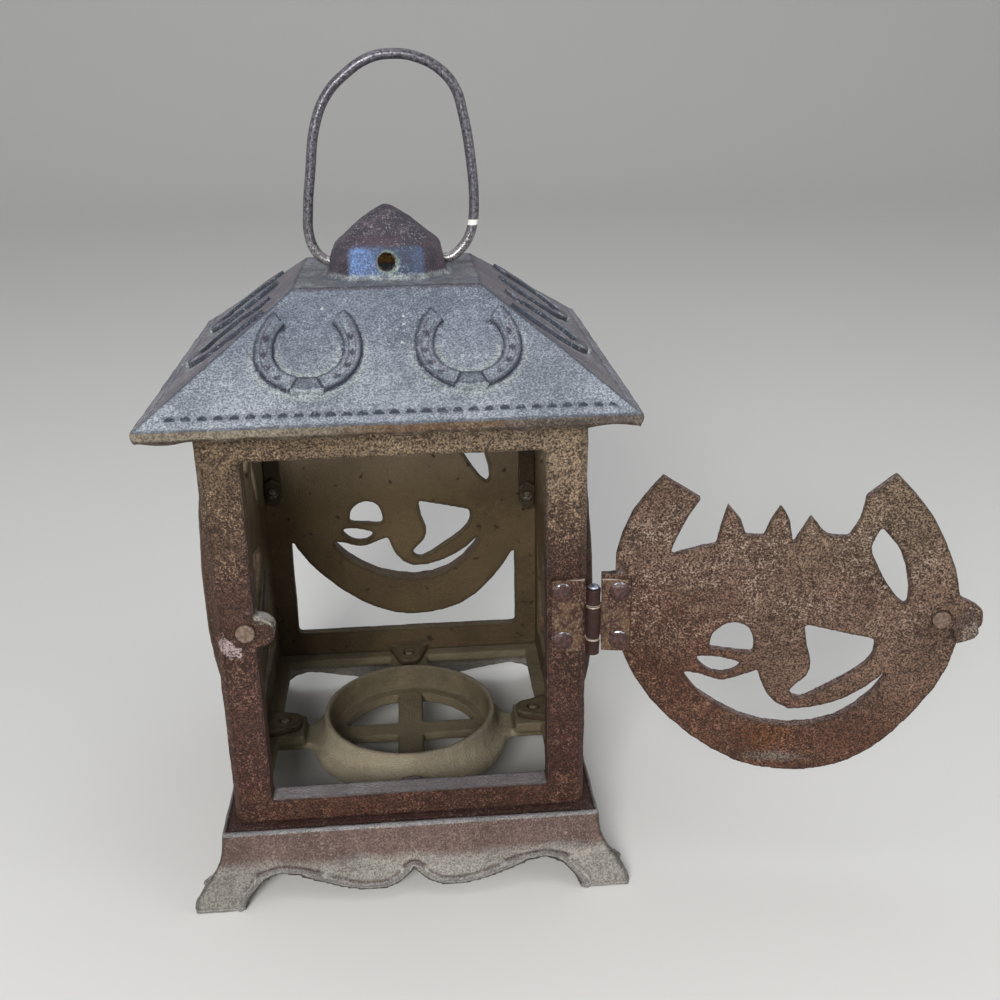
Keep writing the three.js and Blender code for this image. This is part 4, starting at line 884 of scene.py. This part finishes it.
def pan_screw(node, axis):
    """A pan-head screw where its node is. The head is at the low end of the axis."""
    low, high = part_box(node)
    head = (high - low)[0] / 2
    length = (high - low)["XYZ".index(axis)]
    shank = thick = head * SHANK
    shape = turned([(0, 0), (head * 0.55, 0), (head * 0.86, thick * 0.18), (head, thick * 0.6), (head, thick),
                    (shank, thick), (shank, length * 0.93), (shank * 0.7, length), (0, length)])
    piece = piece_of(f"{node}_turned", shape)
    wide = head * SLOT_WIDTH / 2
    cut_out(piece, block((-head * 1.1, -wide, -thick), (head * 1.1, wide, thick * SLOT_DEPTH)))
    start = (low + high) / 2
    start["XYZ".index(axis)] = low["XYZ".index(axis)]
    turn = Matrix.Rotation(-math.pi / 2, 4, "X") if axis == "Y" else Matrix.Identity(4)
    piece.data.transform(Matrix.Translation(start) @ turn)
    piece.data.shade_smooth()
    return piece


def screw_paint():
    """Worn in spots, and as olive as the base where it faces up."""
    finish = Finish("screw_paint")
    worn = finish.mottle(900, 3, 0.45, 0.65)
    head = finish.mix(worn, SCREW_DARK, SCREW_WORN)
    return finish.made({
        "Base Color": finish.mix(finish.share(finish.up, 0.5, 0.8), head, BASE_OLIVE),
        "Roughness": finish.share(worn, 0, 1, 0.65, 0.42),
        "Metallic": 0.3,
        "Normal": finish.bump(finish.noise(1600, 2), 0.0001, 0.6),
    })


screw_finish = screw_paint()
for node, axis in SCREWS.items():
    finished(pan_screw(node, axis), node, "lantern", screw_finish)

# Wire bail
# One bent length of steel wire, sprung into the two side holes of the cap so that it swings. Its dark coat
# has worn to bright metal near the cap, and one fleck of white paint sits on its right leg.
MM = 0.001
WIRE_RADIUS = 0.00175
PIVOT = Vector(next(joint["pos_m"] for joint in frame["joints"] if joint["name"] == "handle_swing"))
CAP_HALF = 0.02
BAIL_ENDS = (0.0145, 0.01725, 0.02)  # straight ends of the wire, out from the middle of the cap
# Points that the wire passes, in millimetres: out from the cap's side and up, and for the crown across and up
BAIL_LEFT = ((1.8, 0.7), (4.6, 3.6), (6.4, 9), (6.2, 17), (4.6, 29), (1.5, 46))
BAIL_CROWN = ((-17.3, 54.6), (-10.7, 61), (-3, 65.6), (5, 66.9), (13, 65.7), (20.8, 61.5), (25.4, 55.8))
BAIL_RIGHT = ((2.3, 0.3), (5.4, 2.6), (8.5, 6.7), (10.2, 12), (10.8, 20), (10, 33), (7.7, 48))
FLECK_HEIGHT = 0.0121
WIRE_DARK = "#37363c"
WIRE_GREY = "#626069"
WIRE_BRIGHT = "#b5b0ae"
FLECK_WHITE = "#f2f0ec"


def bail_route():
    """The wire's middle line, as [across, up] from the pivot."""
    left = [(-CAP_HALF - out * MM, up * MM) for out, up in BAIL_LEFT]
    right = [(CAP_HALF + out * MM, up * MM) for out, up in BAIL_RIGHT]
    start = [(-out, 0) for out in BAIL_ENDS]
    crown = [(across * MM, up * MM) for across, up in BAIL_CROWN]
    return start + left + crown + right[::-1] + [(out, 0) for out in BAIL_ENDS[::-1]]


def bent_wire(name, route, radius):
    """A round wire along a smooth line through the points."""
    line = bpy.data.curves.new(name, "CURVE")
    line.dimensions = "3D"
    line.bevel_depth = radius
    line.bevel_resolution = 5
    line.resolution_u = 10
    line.use_fill_caps = True
    spline = line.splines.new("BEZIER")
    spline.bezier_points.add(len(route) - 1)
    for point, (across, up) in zip(spline.bezier_points, route):
        point.co = PIVOT + Vector((across, 0, up))
        point.handle_left_type = point.handle_right_type = "AUTO"
    drawn = bpy.data.objects.new(name, line)
    bpy.context.scene.collection.objects.link(drawn)
    mesh = bpy.data.meshes.new_from_object(drawn.evaluated_get(bpy.context.evaluated_depsgraph_get()))
    bpy.data.objects.remove(drawn)
    piece = bpy.data.objects.new(name, mesh)
    bpy.context.scene.collection.objects.link(piece)
    piece.data.shade_smooth()
    return piece


def wire_finish():
    """A dark coat, scuffed through to bright metal, and the fleck of paint."""
    finish = Finish("worn_wire")
    near_cap = finish.share(finish.z, PIVOT.z + 0.018, PIVOT.z, 0, 0.16)
    scuffs = finish.share(finish.plus(finish.noise(1900, 3, 0.6), near_cap), 0.58, 0.7)
    finish.body = finish.mix(finish.mottle(1100, 2, 0.35, 0.65), WIRE_DARK, WIRE_GREY)
    finish.lay(WIRE_BRIGHT, finish.times(scuffs, 0.75))
    fleck_up = finish.size(finish.less(finish.z, PIVOT.z + FLECK_HEIGHT))
    fleck = finish.times(finish.share(fleck_up, 0.0011, 0.0007), finish.share(finish.x, 0, 0.001),
                         finish.share(finish.y, 0.0004, -0.0002))
    finish.lay(FLECK_WHITE, fleck)
    return finish.made({
        "Base Color": finish.body,
        "Metallic": finish.share(fleck, 0, 1, 0.55, 0),
        "Roughness": finish.share(scuffs, 0, 1, 0.34, 0.26),
        "Normal": finish.bump(finish.noise(900, 3), 0.0003, 0.4),
    })


bail = bent_wire("wire_bail", bail_route(), WIRE_RADIUS)
finished(bail, "handle", "handle", wire_finish())

# Hinge
# A stock steel butt hinge: two stamped leaves with rolled knuckles on a pin, dark with a painted highlight
# on the upper edge, and bright at the ends of the knuckles.
HINGE_STEP = 0.00024 * COARSER
HINGE_FACES = 60000
PIN_AT = Vector(next(joint["pos_m"] for joint in frame["joints"] if joint["name"] == "door_hinge"))
LEAVES = {"hinge_frame_leaf": ("lantern", 0), "hinge_door_leaf": ("door", -7.82)}  # degrees turned at rest
LEAF_LOW, LEAF_HIGH = (corner.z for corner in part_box("hinge_frame_leaf"))
LEAF_RIDGE = 0.0004
LEAF_HALF = 0.009  # the rivets stand this far above and below the leaf's middle
LEAF_FRONT = 0.0012  # from the pin's axis to the leaves' front face
BARREL = (0.0029, 0.0026)  # the knuckles end between these radii round the pin
KNUCKLE_JOINTS = (0.0857, 0.0734)  # heights where one leaf's knuckles meet the other's
HINGE_OLIVE = "#5c4431"
HINGE_MAROON = "#331613"
HINGE_BRIGHT = "#a99a90"
BARREL_MAROON = "#27100f"
HINGE_RIB = "#8b7a64"
HINGE_SPOT = "#8d7c69"
HINGE_EDGE_SHADE = "#1c1210"


def carve_leaf(place, degrees):
    """Raises the curved ribs that are stamped in a leaf, from its rivets towards the pin."""
    turn = math.radians(degrees)
    from_pin = place[:, :2] - np.array(PIN_AT[:2])
    out = np.abs(from_pin @ np.array((math.cos(turn), math.sin(turn))))
    depth = from_pin @ np.array((-math.sin(turn), math.cos(turn)))
    up = (place[:, 2] - (LEAF_LOW + LEAF_HIGH) / 2) / LEAF_HALF
    bow = hump(out, 0.0036 + 0.0062 * up ** 2, 0.0009)
    slant = 0.6 * hump(out - 0.0075, 0.0042 * up, 0.0009)
    ribs = np.clip(bow + slant, 0, 1) * (np.abs(up) < 1.25) * (depth < LEAF_FRONT + 0.0003) * (out > 0.0029)
    front = np.array((math.sin(turn), -math.cos(turn), 0))
    place += front * (ribs * LEAF_RIDGE)[:, None]
    return place, ribs


def hinge_paint():
    """Olive and maroon blotches, painted shade in the creases, a painted highlight on the upper edge, and
    bright between the knuckles.
    """
    finish = Finish("hinge_paint")
    blotch = finish.noise(240, 3)
    finish.body = finish.mix(finish.share(blotch, 0.36, 0.56, 0, 0.85), HINGE_OLIVE, HINGE_MAROON)
    finish.lay(HINGE_RIB, finish.share(finish.kept("tone"), 0.3, 0.9, 0, 0.15))
    finish.lay(HINGE_SPOT, finish.mottle(1400, 3, 0.52, 0.64, 0, 0.5))
    # Painted shade in the creases and along the edges
    finish.lay(HINGE_EDGE_SHADE, finish.share(finish.size(finish.kept("edge")), 0.12, 0.5, 0, 0.85))
    from_pin = finish.far(tuple(PIN_AT), (1, 1, 0))
    barrel = finish.share(from_pin, *BARREL)
    finish.lay(BARREL_MAROON, finish.times(barrel, 0.9))
    rings = [finish.share(finish.size(finish.less(finish.z, joint)), 0.0006, 0.0004)
             for joint in KNUCKLE_JOINTS]
    # Painted highlight on the leaves' upper edge near the pin, where it faces up
    top = finish.times(finish.share(finish.up, 0.3, 0.6), finish.share(from_pin, 0.0095, 0.006),
                       finish.share(finish.z, LEAF_HIGH - 0.0012, LEAF_HIGH - 0.0006))
    bright = finish.most(finish.times(finish.most(*rings), barrel), top)
    finish.lay(HINGE_BRIGHT, bright)
    lumps = finish.bump(blotch, 0.0008, 0.6)
    return finish.made({
        "Base Color": finish.body,
        "Metallic": finish.share(bright, 0, 1, 0.1, 0.6),
        "Specular IOR Level": 0.3,
        "Roughness": finish.share(blotch, 0.3, 0.7, 0.36, 0.56),
        "Normal": finish.bump(finish.noise(1400, 3), 0.00025, 0.8, lumps),
    })


hinge_finish = hinge_paint()
for node, (body, degrees) in LEAVES.items():
    leaf = cast(f"{node}_stamped", solid_of(node), HINGE_STEP, HINGE_FACES,
                lambda place, _: carve_leaf(place, degrees), 3)
    finished(leaf, node, body, hinge_finish)

# Hinge pin and rivets
# The pin is bright steel with a small round head. The four rivets have domed heads, brown below and
# silver on top, partly rubbed and partly a painted highlight, go right through leaf and casting, and clear
# each other when the door is shut.
PIN_RADIUS = 0.0012
PIN_HEAD = 0.001  # thickness of its head
RIVETS = {"frame_rivet_upper": "lantern", "frame_rivet_lower": "lantern",
          "door_rivet_upper": "door", "door_rivet_lower": "door"}
RIVET_FACES = 20000
PIN_BLUE = "#8f98ad"
PIN_BRIGHT = "#c3c8d0"
RIVET_DEEP = "#2b1614"
RIVET_BROWN = "#4d2f27"
RIVET_LIT_SILVER = "#b4bcc8"


def pin_steel():
    finish = Finish("pin_steel")
    return finish.made({
        "Base Color": finish.mix(finish.mottle(600, 3, 0.4, 0.7), PIN_BLUE, PIN_BRIGHT),
        "Metallic": 0.85,
        "Roughness": finish.mottle(500, 2, 0.3, 0.7, 0.25, 0.45),
    })


def rivet_steel():
    finish = Finish("rivet_steel")
    # Silver on the rivets' tops, where they face up: partly rubbed metal and partly a painted highlight
    lit_silver = finish.share(finish.plus(finish.up, finish.times(finish.noise(700, 3), 1.4)), 1.12, 1.4)
    brown = finish.mix(finish.mottle(900, 3, 0.45, 0.6), RIVET_DEEP, RIVET_BROWN)
    return finish.made({
        "Base Color": finish.mix(lit_silver, brown, RIVET_LIT_SILVER),
        "Metallic": finish.share(lit_silver, 0, 1, 0.1, 0.8),
        "Roughness": finish.share(lit_silver, 0, 1, 0.42, 0.32),
        "Normal": finish.bump(finish.noise(420, 3), 0.0007, 0.7),
    })


pin_low, pin_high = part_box("hinge_pin")
head_radius = (pin_high - pin_low).x / 2
pin_shape = turned([
    (0, pin_low.z), (PIN_RADIUS, pin_low.z), (PIN_RADIUS, pin_high.z - PIN_HEAD),
    (head_radius, pin_high.z - PIN_HEAD), (head_radius, pin_high.z - PIN_HEAD * 0.6),
    (head_radius * 0.8, pin_high.z - PIN_HEAD * 0.2), (head_radius * 0.4, pin_high.z), (0, pin_high.z),
])
bmesh.ops.translate(pin_shape, vec=(PIN_AT.x, PIN_AT.y, 0), verts=pin_shape.verts)
pin = piece_of("hinge_pin_turned", pin_shape)
pin.data.shade_smooth()
finished(pin, "hinge_pin", "lantern", pin_steel())

rivet_finish = rivet_steel()
for node, body in RIVETS.items():
    rivet = cast(f"{node}_set", solid_of(node), HINGE_STEP, RIVET_FACES)
    finished(rivet, node, body, rivet_finish)

# Door
# The openwork door is one casting with a low raised band on its outer face, a tab for the hinge's leaf and a
# tab with the strike and the finger lip. Its inner face is a worn brown-black, rusty low in the horseshoe.
DOOR_SAND = 0.0005 * COARSER
DOOR_FACES = 170000
TAB_REACH = 0.0118  # from the pin to where the horseshoe's outline leaves the tab
TAB_HIGH = LEAF_HIGH + 0.0012
HINGE_SIDE = (0.078, -0.067, 0.05)  # the red paint spreads from here
RUST_AT = (0.1258, -0.0708, 0.0344)
STREAK_AT = (0.1282, -0.0711, 0.0254)  # a streak of painted sheen under the rust
LIP_AT = (0.1845, -0.0845, 0.0795)
DOOR_OLIVE = "#806656"
DOOR_BRONZE = "#8b7561"
DOOR_RED = "#643e2d"
DOOR_DEEP = "#1f1511"
DOOR_GLINT = "#b5a99c"
DOOR_GLINT_LOW = "#90725e"
DOOR_TOP_HIGHLIGHT = "#ae9692"
DOOR_WORN = "#7f7268"
DOOR_RUST = "#70421f"
DOOR_SHEEN_STREAK = "#8a8078"
LIP_PALE = "#9a8b80"


def door_paint():
    """Olive and bronze above, red by the hinge and below, with rust and a painted sheen streak in the
    horseshoe.
    """
    finish = Finish("door_paint")
    red = finish.most(
        finish.share(finish.far(HINGE_SIDE, ragged=0.05, scale=40), 0.08, 0.045, 0, 0.9),
        finish.times(finish.share(finish.noise(34, 4, 0.6), 0.5, 0.66, 0, 0.8),
                     finish.share(finish.z, 0.1, 0.08)),
        finish.share(finish.z, 0.062, 0.03, 0, 0.85))
    upper_right = finish.times(finish.share(finish.x, 0.11, 0.15), finish.share(finish.z, 0.085, 0.115))
    finish.body = finish.mix(upper_right, DOOR_OLIVE, DOOR_BRONZE)
    finish.lay(DOOR_RED, red)
    rust = finish.far(RUST_AT, (0.5, 0.5, 1), 0.009, 160)
    finish.lay(DOOR_RUST, finish.share(rust, 0.0125, 0.0065, 0, 0.75))
    # A paler streak under the rust, as painted sheen
    streak = finish.far(STREAK_AT, (0.3, 0.3, 1.6), 0.004, 220)
    finish.lay(DOOR_SHEEN_STREAK, finish.share(streak, 0.007, 0.003, 0, 0.7))
    # Painted highlight on what faces up, such as the upper edges of the openings
    finish.lay(DOOR_TOP_HIGHLIGHT, finish.share(finish.up, 0.35, 0.7, 0, 0.8))
    finish.lay(LIP_PALE, finish.times(finish.share(finish.far(LIP_AT), 0.0085, 0.0075),
                                      finish.share(finish.y, LIP_AT[1] + 0.0007, LIP_AT[1] + 0.0002)))
    glint_colour = finish.mix(finish.share(finish.z, 0.06, 0.09), DOOR_GLINT_LOW, DOOR_GLINT)
    return sand_cast(finish, DOOR_DEEP, glint_colour, DOOR_TOP_HIGHLIGHT, DOOR_WORN, 0.4, 1.3)


def carve_door(place, _):
    """Files the top of the tab down to just above the hinge's leaf."""
    from_pin = np.linalg.norm(place[:, :2] - np.array(PIN_AT[:2]), axis=1)
    on_tab = (from_pin < TAB_REACH) & (place[:, 2] < LEAF_HIGH + 0.008)
    place[:, 2] = np.where(on_tab, np.minimum(place[:, 2], TAB_HIGH), place[:, 2])
    return place, 0


finished(cast("door_casting", solid_of("door"), DOOR_SAND, DOOR_FACES, carve_door),
         "door", "door", door_paint())

# Catch
# The magnet is a small disc pressed into the boss of the left upright, and the strike is a plain steel disc
# in the door's tab. Both are painted over, in a dull brown.
DISC_STEP = 0.0002
DISC_FACES = 12000
DISC_SPREAD = 1.1  # pressed in tight, the discs leave no gap round them
DISCS = {"catch_magnet": "lantern", "door_strike": "door"}
DISC_BROWN = "#5d4b40"
DISC_TAN = "#7d6a5c"


def disc_steel():
    finish = Finish("disc_steel")
    return finish.made({
        "Base Color": finish.mix(finish.mottle(900, 4, 0.42, 0.6), DISC_BROWN, DISC_TAN),
        "Metallic": 0.2,
        "Roughness": finish.mottle(900, 2, 0.3, 0.7, 0.45, 0.7),
        "Normal": finish.bump(finish.noise(1300, 3), 0.0003, 0.7),
    })


disc_finish = disc_steel()
for node, body in DISCS.items():
    disc = cast(f"{node}_disc", solid_of(node), DISC_STEP, DISC_FACES, rounds=1)
    middle = sum(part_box(node), Vector()) / 2
    disc.data.transform(Matrix.Translation(middle) @ Matrix.Scale(DISC_SPREAD, 4)
                        @ Matrix.Translation(-middle))
    finished(disc, node, body, disc_finish)

# Floor and light
# A plain pale floor that curves up into a backdrop, a soft light in front above the camera, which also
# reaches into the lantern, a larger one overhead and a weak one from the right.
FLOOR_HALF = 2.5
SWEEP_RADIUS = 0.6
BACKDROP_HIGH = 2
PALE = (0.84, 0.84, 0.83, 1)
SKY_STRENGTH = 0.3
LAMP_AIM = (0.02, 0, 0.07)
LAMPS = {  # where each stands, its size, power and tint
    "front": ((-0.25, -1.15, 0.6), 0.4, 13.0, (1.0, 0.985, 0.96)),
    "overhead": ((0.0, 0.1, 1.25), 1.0, 2.5, (0.93, 0.96, 1.0)),
    "side": ((1.1, -0.5, 0.5), 0.6, 2.0, (1.0, 0.99, 0.97)),
}


def floor_piece():
    """A flat floor that sweeps up into a wall behind the lantern."""
    shape = bmesh.new()
    front = [shape.verts.new((x, -FLOOR_HALF, FLOOR_Z)) for x in (-FLOOR_HALF, FLOOR_HALF)]
    edge = [shape.edges.new(front)]
    made = bmesh.ops.extrude_edge_only(shape, edges=edge)
    rear = [item for item in made["geom"] if isinstance(item, bmesh.types.BMVert)]
    bmesh.ops.translate(shape, vec=(0, 2 * FLOOR_HALF - SWEEP_RADIUS, 0), verts=rear)
    last = [item for item in made["geom"] if isinstance(item, bmesh.types.BMEdge)]
    centre = (0, FLOOR_HALF - SWEEP_RADIUS, FLOOR_Z + SWEEP_RADIUS)
    made = bmesh.ops.spin(shape, geom=last, cent=centre, axis=(1, 0, 0), angle=math.pi / 2, steps=24)
    last = [item for item in made["geom_last"] if isinstance(item, bmesh.types.BMEdge)]
    made = bmesh.ops.extrude_edge_only(shape, edges=last)
    top = [item for item in made["geom"] if isinstance(item, bmesh.types.BMVert)]
    bmesh.ops.translate(shape, vec=(0, 0, BACKDROP_HIGH), verts=top)
    piece = piece_of("floor", shape)
    piece.data.shade_smooth()
    return piece


floor = floor_piece()
floor.data.materials.append(Finish("floor_paint").made({"Base Color": PALE, "Roughness": 0.9}))

for name, (place, size, power, tint) in LAMPS.items():
    lamp = bpy.data.objects.new(name, bpy.data.lights.new(name, "AREA"))
    lamp.data.size = size
    lamp.data.energy = power
    lamp.data.color = tint
    aim = Vector(LAMP_AIM) - Vector(place)
    lamp.matrix_world = Matrix.Translation(place) @ aim.to_track_quat("-Z", "Y").to_matrix().to_4x4()
    bpy.context.scene.collection.objects.link(lamp)

world = bpy.data.worlds.new("studio")
world.use_nodes = True
sky = world.node_tree.nodes["Background"]
sky.inputs["Color"].default_value = (1, 1, 1, 1)
rays = world.node_tree.nodes.new("ShaderNodeLightPath")
seen = rays.outputs["Is Camera Ray"]
for kind in ("Is Glossy Ray", "Is Transmission Ray"):
    either = world.node_tree.nodes.new("ShaderNodeMath")
    either.operation = "MAXIMUM"
    world.node_tree.links.new(seen, either.inputs[0])
    world.node_tree.links.new(rays.outputs[kind], either.inputs[1])
    seen = either.outputs[0]
strength = world.node_tree.nodes.new("ShaderNodeMapRange")
strength.inputs["To Min"].default_value = SKY_STRENGTH
world.node_tree.links.new(seen, strength.inputs["Value"])
world.node_tree.links.new(strength.outputs["Result"], sky.inputs["Strength"])
bpy.context.scene.world = world
bpy.context.scene.view_settings.view_transform = "Standard"
